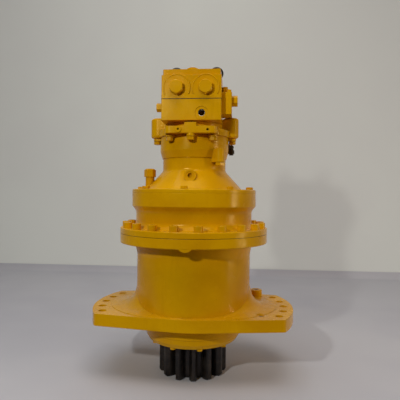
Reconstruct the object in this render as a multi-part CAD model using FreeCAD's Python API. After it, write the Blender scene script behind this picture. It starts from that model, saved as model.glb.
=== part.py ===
import FreeCAD, Part
import math
import os

# Swing gearbox with its hydraulic motor. Millimetres. The origin is the centre of the mounting flange's lower
# face, +Z points up to the motor, X runs along the flange's long axis and the oil port faces -Y.

# Mounting flange and gear case
FLANGE_T = 33.0
FLANGE_END_R = 292.5
FLANGE_HALF_WIDTH = 180.0
FLANGE_SLOPE = 9.0
FLANGE_CORNER_R = 12.0
FLANGE_SIDE_R = 300.0
MOUNT_HOLE_INSET = 26.5
MOUNT_HOLE_R = 11.0
MOUNT_HOLE_STEP = 11.7
JACK_HOLE = (196.0, -108.0)
JACK_HOLE_R = 7.0
SPOT_FACE_R = 13.0
DRAIN_BOSS = (191.0, 120.0)
DRAIN_BOSS_R = 20.0
DRAIN_BOSS_H = 22.0
DRAIN_HOLE_R = 9.0
DRAIN_HOLE_DEPTH = 30.0
PILOT_R = 139.0
PILOT_DEPTH = 33.0
CASE_R = 167.0
CASE_WALL = 18.0
CASE_TOP_R = 173.0
CASE_TOP = 247.0
FOOT_TOP = 96.0
FOOT_END_R = 245.0
FOOT_SIDE_R = 177.0
FOOT_ROUNDING = 38.0
RIM_R = 216.0
RIM_T = 26.0
RIM_LUG_R = 20.5
RIM_LUG_DROP = 7.5
RIM_LUG_DEPTH = 50.0
OIL_POCKET_FLOOR = 62.0
BEARING_HUB_WALL = 20.0
POCKET_RIB_COUNT = 8
POCKET_RIB_T = 14.0

# Pinion and output shaft
PINION_TEETH = 13
PINION_MODULE = 13.0
PINION_ADDENDUM = 14.5
PINION_SHIFT = 0.2
PINION_PRESSURE_ANGLE = 20.0
PINION_FACE = 98.0
PINION_END_CHAMFER = 4.0
PINION_PHASE = -82.7
SHAFT_GAP = 3.0
SEAL_LAND_R = 76.0
LOWER_SEAT_R = 60.0
UPPER_SEAT_R = 50.0

# Bearings of the output shaft
LOWER_BEARING_R = 107.5
LOWER_BEARING_W = 58.0
LOWER_ROLLERS = 16
UPPER_BEARING_R = 90.0
UPPER_BEARING_W = 46.0
UPPER_BEARING_Z = 98.0
UPPER_ROLLERS = 16
RACE_T = 13.0
ROLLER_SHARE = 0.72
BEARING_SHOULDER = 10.0
SEAL_COVER_T = 26.0
SEAL_COVER_INSET = 1.0
SEAL_COVER_EDGE_R = 130.0
SEAL_W = 14.0
SEAL_OUTER_R = 95.0
SEAL_COVER_BOLTS = 10
SEAL_COVER_PHASE = -111.4
SEAL_BOLT_HEAD = 6.0
SEAL_BOLT_R = 4.0
SEAL_BOLT_INSET = 12.0
LOCK_NUT_T = 14.0
LOCK_NUT_R = 68.0

# Planetary gears: both stages run in one broached ring
GEAR_MODULE = 6.0
GEAR_PRESSURE_ANGLE = 25.0
RING_TEETH = 48
OUTPUT_SUN_TEETH = 16
OUTPUT_PLANET_TEETH = 16
OUTPUT_PLANETS = 4
OUTPUT_FACE = 46.0
INPUT_SUN_TEETH = 12
INPUT_PLANET_TEETH = 18
INPUT_PLANETS = 3
INPUT_FACE = 32.0
FLANK_RELIEF = 0.14
BUSH_T = 6.0
OUTPUT_PIN_R = 20.0
INPUT_PIN_R = 17.0
WASHER_T = 3.4
CARRIER_R = 133.0
OUTPUT_CARRIER_Z = 192.0
OUTPUT_CARRIER_T = 26.0
OUTPUT_CARRIER_CAP_T = 12.0
OUTPUT_HUB_R = 72.0
END_PLATE_R = 62.0
END_PLATE_T = 11.0
END_BOLTS = 3
END_BOLT_R = 6.0
END_BOLT_HEAD_R = 9.0
END_BOLT_HEAD = 6.0
END_BOLT_CIRCLE_R = 26.0
END_BOLT_DEPTH = 30.0
SHAFT_SPLINES = 12
SHAFT_SPLINE_DEPTH = 5.0
HUB_GAP = 2.0
STAGE_GAP = 6.0
INPUT_CARRIER_T = 14.0
INPUT_CARRIER_CAP_T = 10.0
BRIDGE_R = 20.0
SUN_STEM_R = 33.0
SUN_OVERHANG = 2.0
INPUT_SLEEVE_R = 36.0
SPLINE_SHAFT_R = 22.0

# Ring gear housing and top cover
GASKET_T = 1.0
RING_SPIGOT_R = 160.0
RING_SPIGOT_DEPTH = 29.0
RING_RIM_T = 16.0
NECK_R = 171.0
NECK_FOOT_R = 179.0
NECK_TOP = 326.0
LOBE_R = 182.5
HOUSING_TOP = 363.0
COVER_FLANGE_T = 11.0
CONE_FOOT_R = 139.0
CONE_TOP_R = 93.0
CONE_TOP = 428.0
COVER_TOP = 463.0
COVER_WALL = 15.0
RIM_BOLTS = 20
RIM_BOLT_INSET = 17.0
RIM_BOLT_R = 8.0
RIM_BOLT_HEAD_R = 12.0
COVER_BOLTS = 8
COVER_BOLT_PHASE = -48.4
COVER_BOLT_AF = 18.0
COVER_BOLT_HEAD = 8.0
COVER_BOLT_REACH = 22.0
COVER_BOLT_CIRCLE_R = 164.0
COVER_BOLT_R = 6.0
EAR_CIRCLE_R = 111.0
EAR_ANGLES = (-45.0, 135.0)
EAR_R = 14.0
COVER_EAR_T = 13.0
MOTOR_EAR_T = 25.0
EAR_BOLT_R = 8.0
EAR_BOLT_AF = 24.0
EAR_BOLT_HEAD = 10.0
EAR_BOLT_REACH = 20.0
FILLER = (-128.0, -30.0)
FILLER_R = 13.0
FILLER_H = 36.0
FILLER_CAP_AF = 30.0
FILLER_CAP_H = 24.0
COVER_PLUG_Z = 411.0
COVER_PLUG_R = 11.0

# Motor
MOTOR_R = 101.0
MOTOR_FOOT_R = 95.0
MOTOR_FLANGE_Z = 526.0
MOTOR_FLANGE_T = 19.0
MOTOR_FLANGE_R = 122.0
MOTOR_FLANGE_DISC_R = 106.0
MOTOR_PAD_X = 72.0
MOTOR_PAD_ROUNDING = 16.0
WAIST_R = 86.0
MOTOR_WALL = 14.0
COVER_BLOCK_Z = 563.0
COVER_BLOCK_TOP = 621.5
BLOCK_TOP = 705.0
BLOCK_WIDTH = 166.0
BLOCK_DEPTH = 202.0
BLOCK_CORNER_R = 4.0
BLOCK_BOLT_CIRCLE_R = 112.0
BLOCK_BOLT_SPREAD = 32.4
BLOCK_BOLT_REACH = 16.0
CASING_EAR_R = 11.0
CASING_EAR_T = 8.0
FITTING_ANGLE = 17.0
FITTING_Z = 504.0
FITTING_SEAT_R = 98.0
FITTING_AF = 20.0
FITTING_STEM_R = 5.0
FITTING_STEM = 10.0
FITTING_ARM = 16.0
FITTING_TUBE_R = 6.5
FITTING_DROP = 24.0
LUG_X = 107.0
LUG_R = 23.5
LUG_ROUNDING = 7.0
LUG_TOP = 585.0
RELIEF_X = 40.0
RELIEF_Z = 652.0
RELIEF_AF = 35.0
RELIEF_HEAD = 16.0
RELIEF_BOSS_R = 37.0
RELIEF_BOSS_T = 2.0
CROWN_R = 30.0
CROWN_RISE = 11.0
PORT = (29.0, 583.5)
PORT_R = 9.5
PORT_FACE_R = 18.0
PORT_DEPTH = 32.0
MAIN_PORT_X = 36.0
MAIN_PORT_Z = 658.0
MAIN_PORT_R = 12.5
MAIN_PORT_DEPTH = 40.0
MAIN_PORT_BOLT_R = 4.25
MAIN_PORT_PITCH_X = 22.2
MAIN_PORT_PITCH_Z = 47.6
SIDE_VALVE_SIZE = (28.0, 60.0, 62.0)
SIDE_VALVE_AT = (-50.0, 583.0)
BLOCK_BOLT_R = 6.0
BLOCK_BOLT_AF = 18.0
BLOCK_BOLT_HEAD = 10.0
FLANGE_BOSS_X = 16.0
FLANGE_BOSS_TOP = 555.0
VENT = (47.0, 535.0)
VENT_R = 3.4
VENT_DEPTH = 14.0
RELIEF_BODY_R = 14.0
RELIEF_LENGTH = 52.0
BLOCK_PLUG_Y = -60.0
BLOCK_PLUG_Z = 607.0
DRAIN_PLUG_X = -33.0
DRAIN_PLUG_Z = 536.0
DRAIN_PLUG_R = 7.0
DRAIN_PLUG_DEPTH = 14.0
BLOCK_PLUG_R = 7.0
BLOCK_PLUG_DEPTH = 12.0
CYLINDER_BLOCK_R = 50.0
CYLINDER_BLOCK_Z = 532.0
CYLINDER_BLOCK_TOP = 598.0
PISTONS = 9
PISTON_R = 8.0
PISTON_CIRCLE_R = 33.0
BRAKE_R = 70.0
FRICTION_DISCS = 3
BRAKE_DISC_T = 3.0
BRAKE_PISTON_H = 20.0
BRAKE_SPRING_H = 9.0
MOTOR_SHAFT_R = 21.0
MOTOR_BEARING_R = 40.0
MOTOR_BEARING_W = 18.0
MOTOR_BEARING_ROLLERS = 11
MOTOR_RACE_T = 5.0
MOTOR_SPIGOT_DEPTH = 13.0
SWASH_ANGLE = 15.0
SWASH_R = 58.0
EYE_SHANK_R = 6.0
EYE_R = 16.0
EYE_WIRE_R = 5.0
EYE_PLACES = ((-62.0, 40.0), (62.0, 40.0))

# Clearances
RUN_FIT = 0.05
SEAT_FIT = 0.02
SIDE_GAP = 0.3

UP = FreeCAD.Vector(0, 0, 1)


def at(radius, angle, z=0.0):
    """Point at a polar place, with the angle in radians."""
    return FreeCAD.Vector(radius * math.cos(angle), radius * math.sin(angle), z)


def around(count, radius, phase=0.0):
    """Evenly spaced (x, y) places on a circle, with the first one at phase degrees."""
    angles = [math.radians(phase + 360.0 * i / count) for i in range(count)]
    return [(radius * math.cos(a), radius * math.sin(a)) for a in angles]


def rod(r, z0, z1, x=0.0, y=0.0):
    return Part.makeCylinder(r, z1 - z0, FreeCAD.Vector(x, y, z0))


def pipe(r_in, r_out, z0, z1, x=0.0, y=0.0):
    return rod(r_out, z0, z1, x, y).cut(rod(r_in, z0 - 1.0, z1 + 1.0, x, y))


def rod_y(r, y0, y1, x, z):
    return Part.makeCylinder(r, y1 - y0, FreeCAD.Vector(x, y0, z), FreeCAD.Vector(0, 1, 0))


def block(x0, x1, y0, y1, z0, z1):
    return Part.makeBox(x1 - x0, y1 - y0, z1 - z0, FreeCAD.Vector(x0, y0, z0))


def rounded_wire(corners, place):
    """Closed wire through (u, v) or (u, v, radius) corners, where a radius turns the corner into an arc."""
    points = [FreeCAD.Vector(c[0], c[1], 0) for c in corners]
    radii = [c[2] if len(c) == 3 else 0.0 for c in corners]
    runs = []
    for i, point in enumerate(points):
        if radii[i] == 0.0:
            runs.append([point])
            continue
        to_last = (points[i - 1] - point).normalize()
        to_next = (points[(i + 1) % len(points)] - point).normalize()
        half = to_last.getAngle(to_next) / 2.0
        back = radii[i] / math.tan(half)
        centre = point + (to_last + to_next).normalize() * (radii[i] / math.sin(half))
        middle = centre + (point - centre).normalize() * radii[i]
        runs.append([point + to_last * back, middle, point + to_next * back])
    edges = []
    for i, run in enumerate(runs):
        if len(run) == 3:
            edges.append(Part.Arc(*[place(p.x, p.y) for p in run]).toShape())
        start = run[-1]
        end = runs[(i + 1) % len(runs)][0]
        if start.distanceToPoint(end) > 1e-6:
            edges.append(Part.LineSegment(place(start.x, start.y), place(end.x, end.y)).toShape())
    return Part.Wire(edges)


def turned(*corners):
    """Solid of revolution about Z from (radius, z) or (radius, z, rounding) corners."""
    wire = rounded_wire(corners, lambda r, z: FreeCAD.Vector(r, 0, z))
    return Part.Face(wire).revolve(FreeCAD.Vector(), UP, 360)


def prism(corners, z0, z1):
    """Upright prism from (x, y) or (x, y, rounding) corners."""
    wire = rounded_wire(corners, lambda x, y: FreeCAD.Vector(x, y, z0))
    return Part.Face(wire).extrude(FreeCAD.Vector(0, 0, z1 - z0))


def hexagon(across_flats, z0, z1, x=0.0, y=0.0, phase=0.0):
    places = around(6, across_flats / math.sqrt(3.0), phase)
    return prism([(x + a, y + b) for a, b in places], z0, z1)


def facing(shape, direction, place):
    """Shape built along +Z, turned to point along direction and set at place."""
    moved = shape.copy()
    turn = FreeCAD.Rotation(UP, FreeCAD.Vector(*direction))
    moved.Placement = FreeCAD.Placement(FreeCAD.Vector(*place), turn).multiply(moved.Placement)
    return moved


def fused(shapes):
    whole = shapes[0].fuse(shapes[1:]) if len(shapes) > 1 else shapes[0]
    return whole.removeSplitter()


def save(name, shapes):
    """Write one node, which may hold several separate solids."""
    shapes = shapes if isinstance(shapes, list) else [shapes]
    solids = [solid for shape in shapes for solid in shape.Solids]
    whole = solids[0] if len(solids) == 1 else Part.makeCompound(solids)
    whole.exportStep("parts/" + name + ".step")


def involute(angle):
    return math.tan(angle) - angle


def toothed(teeth, module, pressure_angle, root_r, tip_r, relief, phase, z0, z1, shift=0.0):
    """Prism with involute teeth, one of them centred on phase (radians). Relief thins each flank."""
    alpha = math.radians(pressure_angle)
    pitch_r = module * teeth / 2.0
    base_r = pitch_r * math.cos(alpha)
    start_r = max(base_r, root_r)
    pitch_half = (math.pi / 2.0 + 2.0 * shift * math.tan(alpha)) / teeth - relief / pitch_r

    def half_angle(r):
        return pitch_half + involute(alpha) - involute(math.acos(min(1.0, base_r / r)))

    radii = [start_r + (tip_r - start_r) * k / 3.0 for k in range(4)]
    edges = []
    for i in range(teeth):
        centre = phase + 2.0 * math.pi * i / teeth
        following = centre + 2.0 * math.pi / teeth
        rising = [at(r, centre - half_angle(r), z0) for r in radii]
        falling = [at(r, centre + half_angle(r), z0) for r in reversed(radii)]
        root_start = at(root_r, centre + half_angle(start_r), z0)
        root_end = at(root_r, following - half_angle(start_r), z0)
        if start_r > root_r:
            edges.append(Part.LineSegment(at(root_r, centre - half_angle(start_r), z0), rising[0]).toShape())
        edges.append(flank(rising))
        edges.append(Part.Arc(rising[-1], at(tip_r, centre, z0), falling[0]).toShape())
        edges.append(flank(falling))
        if start_r > root_r:
            edges.append(Part.LineSegment(falling[-1], root_start).toShape())
        middle = at(root_r, (centre + following) / 2.0, z0)
        edges.append(Part.Arc(root_start, middle, root_end).toShape())
    return Part.Face(Part.Wire(edges)).extrude(FreeCAD.Vector(0, 0, z1 - z0))


def flank(points):
    curve = Part.BSplineCurve()
    curve.interpolate(points)
    return curve.toShape()


def gear(teeth, phase, z0, z1):
    """External gear of the planetary train."""
    pitch_r = GEAR_MODULE * teeth / 2.0
    root_r = pitch_r - 1.25 * GEAR_MODULE
    tip_r = pitch_r + GEAR_MODULE
    return toothed(teeth, GEAR_MODULE, GEAR_PRESSURE_ANGLE, root_r, tip_r, FLANK_RELIEF, phase, z0, z1)


def splined(r, depth, count, z0, z1, gap=0.0):
    """Shaft end with straight splines, or its slightly larger hole when a gap is given."""
    key = block(0.0, r + gap, -r * 0.13 - gap, r * 0.13 + gap, z0, z1)
    keys = []
    for i in range(count):
        turn = key.copy()
        turn.rotate(FreeCAD.Vector(), UP, 360.0 * i / count)
        keys.append(turn)
    return fused([rod(r - depth + gap, z0, z1)] + keys)


# Sizes that follow from the driving dimensions
MOUNT_HOLE_CIRCLE_R = FLANGE_END_R - MOUNT_HOLE_INSET
RIM_BOLT_CIRCLE_R = RIM_R - RIM_BOLT_INSET
COVER_BOTTOM = -PILOT_DEPTH - SEAL_COVER_T
PINION_TOP = COVER_BOTTOM - SHAFT_GAP
PINION_BOTTOM = PINION_TOP - PINION_FACE
LOWER_BEARING_Z = -PILOT_DEPTH
LOWER_BEARING_TOP = LOWER_BEARING_Z + LOWER_BEARING_W
UPPER_BEARING_TOP = UPPER_BEARING_Z + UPPER_BEARING_W
HUB_BOTTOM = UPPER_BEARING_TOP + LOCK_NUT_T + HUB_GAP
RING_BOTTOM = CASE_TOP - RING_SPIGOT_DEPTH
RING_SEAT = CASE_TOP + GASKET_T
RING_RIM_TOP = RING_SEAT + RING_RIM_T
COVER_SEAT = HOUSING_TOP
COVER_FLANGE_TOP = COVER_SEAT + COVER_FLANGE_T
OUTPUT_WASHER_Z = OUTPUT_CARRIER_Z + OUTPUT_CARRIER_T + SIDE_GAP
OUTPUT_GEAR_Z = OUTPUT_WASHER_Z + WASHER_T + SIDE_GAP
OUTPUT_GEAR_TOP = OUTPUT_GEAR_Z + OUTPUT_FACE
OUTPUT_CAP_Z = OUTPUT_GEAR_TOP + WASHER_T + 2.0 * SIDE_GAP
OUTPUT_CAP_TOP = OUTPUT_CAP_Z + OUTPUT_CARRIER_CAP_T
INPUT_CARRIER_Z = OUTPUT_CAP_TOP + STAGE_GAP
INPUT_WASHER_Z = INPUT_CARRIER_Z + INPUT_CARRIER_T + SIDE_GAP
INPUT_GEAR_Z = INPUT_WASHER_Z + WASHER_T + SIDE_GAP
INPUT_GEAR_TOP = INPUT_GEAR_Z + INPUT_FACE
INPUT_CAP_Z = INPUT_GEAR_TOP + WASHER_T + 2.0 * SIDE_GAP
INPUT_CAP_TOP = INPUT_CAP_Z + INPUT_CARRIER_CAP_T
END_PLATE_TOP = OUTPUT_CARRIER_Z + OUTPUT_CARRIER_T - 1.0
END_PLATE_Z = END_PLATE_TOP - END_PLATE_T
SHAFT_TOP = END_PLATE_Z
RING_TIP_R = GEAR_MODULE * (RING_TEETH / 2.0 - 1.0)
RING_ROOT_R = GEAR_MODULE * (RING_TEETH / 2.0 + 1.25)
CASE_BORE_R = CASE_R - CASE_WALL
MOTOR_FLANGE_TOP = MOTOR_FLANGE_Z + MOTOR_FLANGE_T
BLOCK_FRONT = -BLOCK_DEPTH / 2.0 - 6.0
SEAL_COVER_R = PILOT_R - SEAL_COVER_INSET
COVER_EAR_Z = COVER_TOP - COVER_EAR_T


def flange_outline(z0, z1):
    """Lozenge of the mounting flange: arcs at the ends, two straight runs front and back."""
    slope = math.tan(math.radians(FLANGE_SLOPE))
    w = FLANGE_HALF_WIDTH
    a = 1.0 + slope * slope
    x = (w * slope + math.sqrt(w * w * slope * slope - a * (w * w - FLANGE_END_R ** 2))) / a
    y = w - slope * x
    r = FLANGE_SIDE_R
    lozenge = prism([(-2.0 * x, w - 2.0 * slope * x), (0, w, r), (2.0 * x, w - 2.0 * slope * x),
                     (2.0 * x, 2.0 * slope * x - w), (0, -w, r), (-2.0 * x, 2.0 * slope * x - w)], z0, z1)
    plate = lozenge.common(rod(FLANGE_END_R, z0, z1))
    corners = [e for e in plate.Edges if is_upright_at(e, x, y)]
    return plate.makeFillet(FLANGE_CORNER_R, corners)


def is_upright_at(edge, x, y):
    ends = [v.Point for v in edge.Vertexes]
    if len(ends) != 2 or math.hypot(ends[0].x - ends[1].x, ends[0].y - ends[1].y) > 0.01:
        return False
    return abs(abs(ends[0].x) - x) < 0.5 and abs(abs(ends[0].y) - y) < 0.5


def mount_places():
    places = []
    for side in (0.0, 180.0):
        for step in (-2, -1, 0, 1, 2):
            a = math.radians(side + step * MOUNT_HOLE_STEP)
            places.append((MOUNT_HOLE_CIRCLE_R * math.cos(a), MOUNT_HOLE_CIRCLE_R * math.sin(a)))
    return places


def foot():
    """Flare from the case wall to the flange, drawn out towards the flange's two ends."""
    stretch = FOOT_END_R / FOOT_SIDE_R
    middle = FLANGE_T / 2.0
    flare = turned((0, middle), (FOOT_SIDE_R, middle), (FOOT_SIDE_R, FLANGE_T + 1.0),
                   ((CASE_R + 15.0) / stretch, FLANGE_T + 8.0, FOOT_ROUNDING), (CASE_R / stretch, FOOT_TOP),
                   (0, FOOT_TOP))
    along_x = FreeCAD.Matrix()
    along_x.A11 = stretch
    return flare.transformGeometry(along_x).common(flange_outline(middle, FOOT_TOP + 1.0))


def main_case():
    """Cast gear case: lozenge flange with a flared foot, bearing hub inside and the bolted rim on top."""
    pilot = rod(PILOT_R, -PILOT_DEPTH, FLANGE_T)
    wall = turned((0, FLANGE_T / 2), (CASE_R, FLANGE_T / 2), (CASE_R, CASE_TOP - RIM_T - 34.0, 40.0),
                  (CASE_TOP_R, CASE_TOP - RIM_T - 6.0, 6.0), (CASE_TOP_R + 3.0, CASE_TOP - RIM_T),
                  (RIM_R, CASE_TOP - RIM_T, 2.0), (RIM_R, CASE_TOP), (0, CASE_TOP))
    lug = rod_y(RIM_LUG_R, -RIM_R + 0.5, -RIM_R + RIM_LUG_DEPTH, 0, CASE_TOP - RIM_T + RIM_LUG_R - RIM_LUG_DROP)
    lug = lug.common(rod(RIM_R, CASE_TOP - RIM_T - RIM_LUG_R, CASE_TOP))
    drain = turned((0, FLANGE_T / 2), (DRAIN_BOSS_R, FLANGE_T / 2),
                   (DRAIN_BOSS_R, FLANGE_T + DRAIN_BOSS_H, 3.0), (0, FLANGE_T + DRAIN_BOSS_H))
    drain.translate(FreeCAD.Vector(DRAIN_BOSS[0], DRAIN_BOSS[1], 0))
    body = fused([flange_outline(0, FLANGE_T), foot(), pilot, wall, lug, drain])
    hub_r = UPPER_BEARING_R + BEARING_HUB_WALL
    chamber = turned((0, UPPER_BEARING_TOP + 2.0), (hub_r, UPPER_BEARING_TOP + 2.0),
                     (hub_r, OIL_POCKET_FLOOR, 8.0), (CASE_BORE_R, OIL_POCKET_FLOOR, 14.0),
                     (CASE_BORE_R, RING_BOTTOM - 4.0), (RING_SPIGOT_R + SEAT_FIT, RING_BOTTOM - 4.0),
                     (RING_SPIGOT_R + SEAT_FIT, CASE_TOP + 1.0), (0, CASE_TOP + 1.0))
    ribs = [rib(angle, hub_r) for angle in range(0, 360, 360 // POCKET_RIB_COUNT)]
    shoulder_r = LOWER_BEARING_R - BEARING_SHOULDER
    bores = turned((0, -PILOT_DEPTH - 1.0), (LOWER_BEARING_R + SEAT_FIT, -PILOT_DEPTH - 1.0),
                   (LOWER_BEARING_R + SEAT_FIT, LOWER_BEARING_TOP), (shoulder_r, LOWER_BEARING_TOP),
                   (shoulder_r, UPPER_BEARING_Z - 12.0, 6.0),
                   (UPPER_BEARING_R - BEARING_SHOULDER, UPPER_BEARING_Z - 12.0),
                   (UPPER_BEARING_R - BEARING_SHOULDER, UPPER_BEARING_Z),
                   (UPPER_BEARING_R + SEAT_FIT, UPPER_BEARING_Z),
                   (UPPER_BEARING_R + SEAT_FIT, UPPER_BEARING_TOP + 3.0), (0, UPPER_BEARING_TOP + 3.0))
    body = body.cut(chamber.cut(ribs)).cut(bores)
    holes = [rod(MOUNT_HOLE_R, -1.0, FLANGE_T + 1.0, x, y) for x, y in mount_places()]
    x, y = JACK_HOLE
    for px, py in ((x, y), (-x, -y)):
        holes += [rod(JACK_HOLE_R, -1.0, FLANGE_T + 1.0, px, py), rod(SPOT_FACE_R, FLANGE_T, FLANGE_T + 40.0, px, py)]
    drain_top = FLANGE_T + DRAIN_BOSS_H
    holes.append(rod(DRAIN_HOLE_R, drain_top - DRAIN_HOLE_DEPTH, drain_top + 1.0, *DRAIN_BOSS))
    holes += [rod(RIM_BOLT_R, CASE_TOP - RIM_T - 1.0, CASE_TOP + 1.0, px, py) for px, py in rim_places()]
    holes += [rod(SEAL_BOLT_R, -PILOT_DEPTH - 1.0, -PILOT_DEPTH + 20.0, px, py)
              for px, py in seal_cover_places()]
    return body.cut(holes)


def rib(angle, hub_r):
    web = block(hub_r - 1.0, CASE_BORE_R + 1.0, -POCKET_RIB_T / 2.0, POCKET_RIB_T / 2.0,
                OIL_POCKET_FLOOR - 1.0, UPPER_BEARING_TOP - 10.0)
    web.rotate(FreeCAD.Vector(), UP, angle)
    return web


def rim_places():
    return around(RIM_BOLTS, RIM_BOLT_CIRCLE_R, -90.0 + 180.0 / RIM_BOLTS)


def seal_cover_places():
    return around(SEAL_COVER_BOLTS, LOWER_BEARING_R + SEAL_BOLT_INSET, SEAL_COVER_PHASE)


def seal_cover():
    """Round plate under the pilot that holds the oil seal and clamps the lower bearing."""
    top = -PILOT_DEPTH - SIDE_GAP
    plate = turned((SEAL_OUTER_R + SEAT_FIT, COVER_BOTTOM), (SEAL_COVER_EDGE_R, COVER_BOTTOM, 4.0),
                   (SEAL_COVER_R, COVER_BOTTOM + 13.0, 8.0), (SEAL_COVER_R, top), (LOWER_BEARING_R - 14.0, top),
                   (LOWER_BEARING_R - 14.0, top - 6.0), (SEAL_OUTER_R + SEAT_FIT, top - 6.0))
    holes = [rod(SEAL_BOLT_R, COVER_BOTTOM - 1.0, top + 1.0, x, y) for x, y in seal_cover_places()]
    return plate.cut(holes)


def seal_cover_bolts():
    r = SEAL_BOLT_R - RUN_FIT
    head_z = COVER_BOTTOM
    bolts = []
    for x, y in seal_cover_places():
        head = rod(2.0 * r, head_z - SEAL_BOLT_HEAD, head_z, x, y)
        bolts.append(head.fuse(rod(r, head_z, -PILOT_DEPTH + 18.0, x, y)))
    return bolts


def oil_seal():
    z0 = COVER_BOTTOM + 3.0
    lip = SEAL_LAND_R + RUN_FIT
    return turned((SEAL_OUTER_R, z0), (SEAL_OUTER_R, z0 + SEAL_W), (SEAL_OUTER_R - 4.0, z0 + SEAL_W),
                  (SEAL_OUTER_R - 4.0, z0 + 3.0), (lip + 7.0, z0 + 3.0), (lip + 5.0, z0 + SEAL_W - 1.0),
                  (lip, z0 + SEAL_W - 5.0), (lip + 2.0, z0))


class TaperBearing:
    """Taper roller bearing whose rolling lines all meet at one apex on the shaft axis."""

    TILT = math.radians(12.0)

    def __init__(self, bore_r, outer_r, z0, width, race_t, rollers, apex_above):
        self.bore_r = bore_r
        self.outer_r = outer_r
        self.z0 = z0
        self.width = width
        self.rollers = rollers
        self.way = 1.0 if apex_above else -1.0
        self.middle_r = (bore_r + outer_r) / 2.0
        self.roller_r = (outer_r - bore_r) / 2.0 - race_t
        self.apex_run = self.middle_r / math.sin(self.TILT)
        self.apex_z = z0 + width / 2.0 + self.way * self.middle_r / math.tan(self.TILT)
        self.half_cone = math.asin(self.roller_r / self.apex_run)
        self.roller_length = width * ROLLER_SHARE

    def race_r(self, z, side):
        """Radius of the inner (-1) or outer (+1) race at height z."""
        return abs(self.apex_z - z) * math.tan(self.TILT + side * self.half_cone)

    def race(self, side, back_r):
        z1 = self.z0 + self.width
        corners = [(back_r, self.z0), (back_r, z1), (self.race_r(z1, side), z1),
                   (self.race_r(self.z0, side), self.z0)]
        return turned(*corners)

    def cup(self):
        return self.race(1.0, self.outer_r)

    def cone(self):
        return self.race(-1.0, self.bore_r)

    def roller(self, angle, grow=0.0):
        near = self.apex_run - self.roller_length / 2.0 - grow
        far = self.apex_run + self.roller_length / 2.0 + grow
        slope = math.tan(self.half_cone)
        solid = Part.makeCone(near * slope - RUN_FIT + grow, far * slope - RUN_FIT + grow, far - near)
        solid.translate(FreeCAD.Vector(0, 0, near))
        along = (math.sin(self.TILT), 0.0, -self.way * math.cos(self.TILT))
        solid = facing(solid, along, (0, 0, self.apex_z))
        solid.rotate(FreeCAD.Vector(), UP, angle)
        return solid

    def roller_set(self):
        """Rollers and the conical cage that spaces them."""
        angles = [360.0 * i / self.rollers for i in range(self.rollers)]
        rollers = [self.roller(a) for a in angles]
        margin = self.width * (1.0 - ROLLER_SHARE) / 4.0
        z0 = self.z0 + margin
        z1 = self.z0 + self.width - margin
        low, high = [abs(self.apex_z - z) * math.tan(self.TILT) for z in (z0, z1)]
        cage = turned((low - 1.5, z0), (low + 1.5, z0), (high + 1.5, z1), (high - 1.5, z1))
        return [cage.cut([self.roller(a, SIDE_GAP) for a in angles])] + rollers

    def cage_ratio(self):
        """Cage turns for each turn of the shaft, with the cup held still."""
        middle = self.z0 + self.width / 2.0
        inner = self.race_r(middle, -1.0)
        return inner / (inner + self.race_r(middle, 1.0))


LOWER_BEARING = TaperBearing(LOWER_SEAT_R + SEAT_FIT, LOWER_BEARING_R, LOWER_BEARING_Z, LOWER_BEARING_W,
                             RACE_T, LOWER_ROLLERS, True)
UPPER_BEARING = TaperBearing(UPPER_SEAT_R + SEAT_FIT, UPPER_BEARING_R, UPPER_BEARING_Z, UPPER_BEARING_W,
                             RACE_T, UPPER_ROLLERS, False)


def pinion_shaft():
    """Output shaft in one piece with its involute pinion; the splines above carry the output carrier."""
    pitch_r = PINION_MODULE * PINION_TEETH / 2.0
    root_r = pitch_r - PINION_MODULE * (1.25 - PINION_SHIFT)
    tip_r = pitch_r + PINION_ADDENDUM
    teeth = toothed(PINION_TEETH, PINION_MODULE, PINION_PRESSURE_ANGLE, root_r, tip_r, 0.0,
                    math.radians(PINION_PHASE), PINION_BOTTOM, PINION_TOP, PINION_SHIFT)
    c = PINION_END_CHAMFER
    blank = turned((0, PINION_BOTTOM), (tip_r - c, PINION_BOTTOM), (tip_r + 0.01, PINION_BOTTOM + 1.4 * c),
                   (tip_r + 0.01, PINION_TOP - 1.4 * c), (tip_r - c, PINION_TOP), (0, PINION_TOP))
    shaft = turned((0, PINION_TOP - 1.0), (SEAL_LAND_R, PINION_TOP - 1.0), (SEAL_LAND_R, LOWER_BEARING_Z),
                   (LOWER_SEAT_R, LOWER_BEARING_Z), (LOWER_SEAT_R, UPPER_BEARING_Z),
                   (UPPER_SEAT_R, UPPER_BEARING_Z), (UPPER_SEAT_R, HUB_BOTTOM - SIDE_GAP),
                   (0, HUB_BOTTOM - SIDE_GAP))
    spline = splined(UPPER_SEAT_R, SHAFT_SPLINE_DEPTH, SHAFT_SPLINES, HUB_BOTTOM - 1.0, SHAFT_TOP)
    body = fused([teeth.common(blank), shaft, spline])
    return body.cut([rod(END_BOLT_R, SHAFT_TOP - END_BOLT_DEPTH - 2.0, SHAFT_TOP + 1.0, x, y)
                     for x, y in end_plate_places()])


def bearing_spacer():
    return pipe(LOWER_SEAT_R + SEAT_FIT, LOWER_SEAT_R + 10.0, LOWER_BEARING_TOP, UPPER_BEARING_Z)


def lock_nut():
    """Slotted nut that clamps both bearings on the shaft."""
    z0 = UPPER_BEARING_TOP
    nut = pipe(UPPER_SEAT_R + SEAT_FIT, LOCK_NUT_R, z0, z0 + LOCK_NUT_T)
    slots = [block(x - 5.0, x + 5.0, y - 5.0, y + 5.0, z0 + 4.0, z0 + LOCK_NUT_T + 1.0)
             for x, y in around(4, LOCK_NUT_R)]
    return nut.cut(slots)


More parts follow.
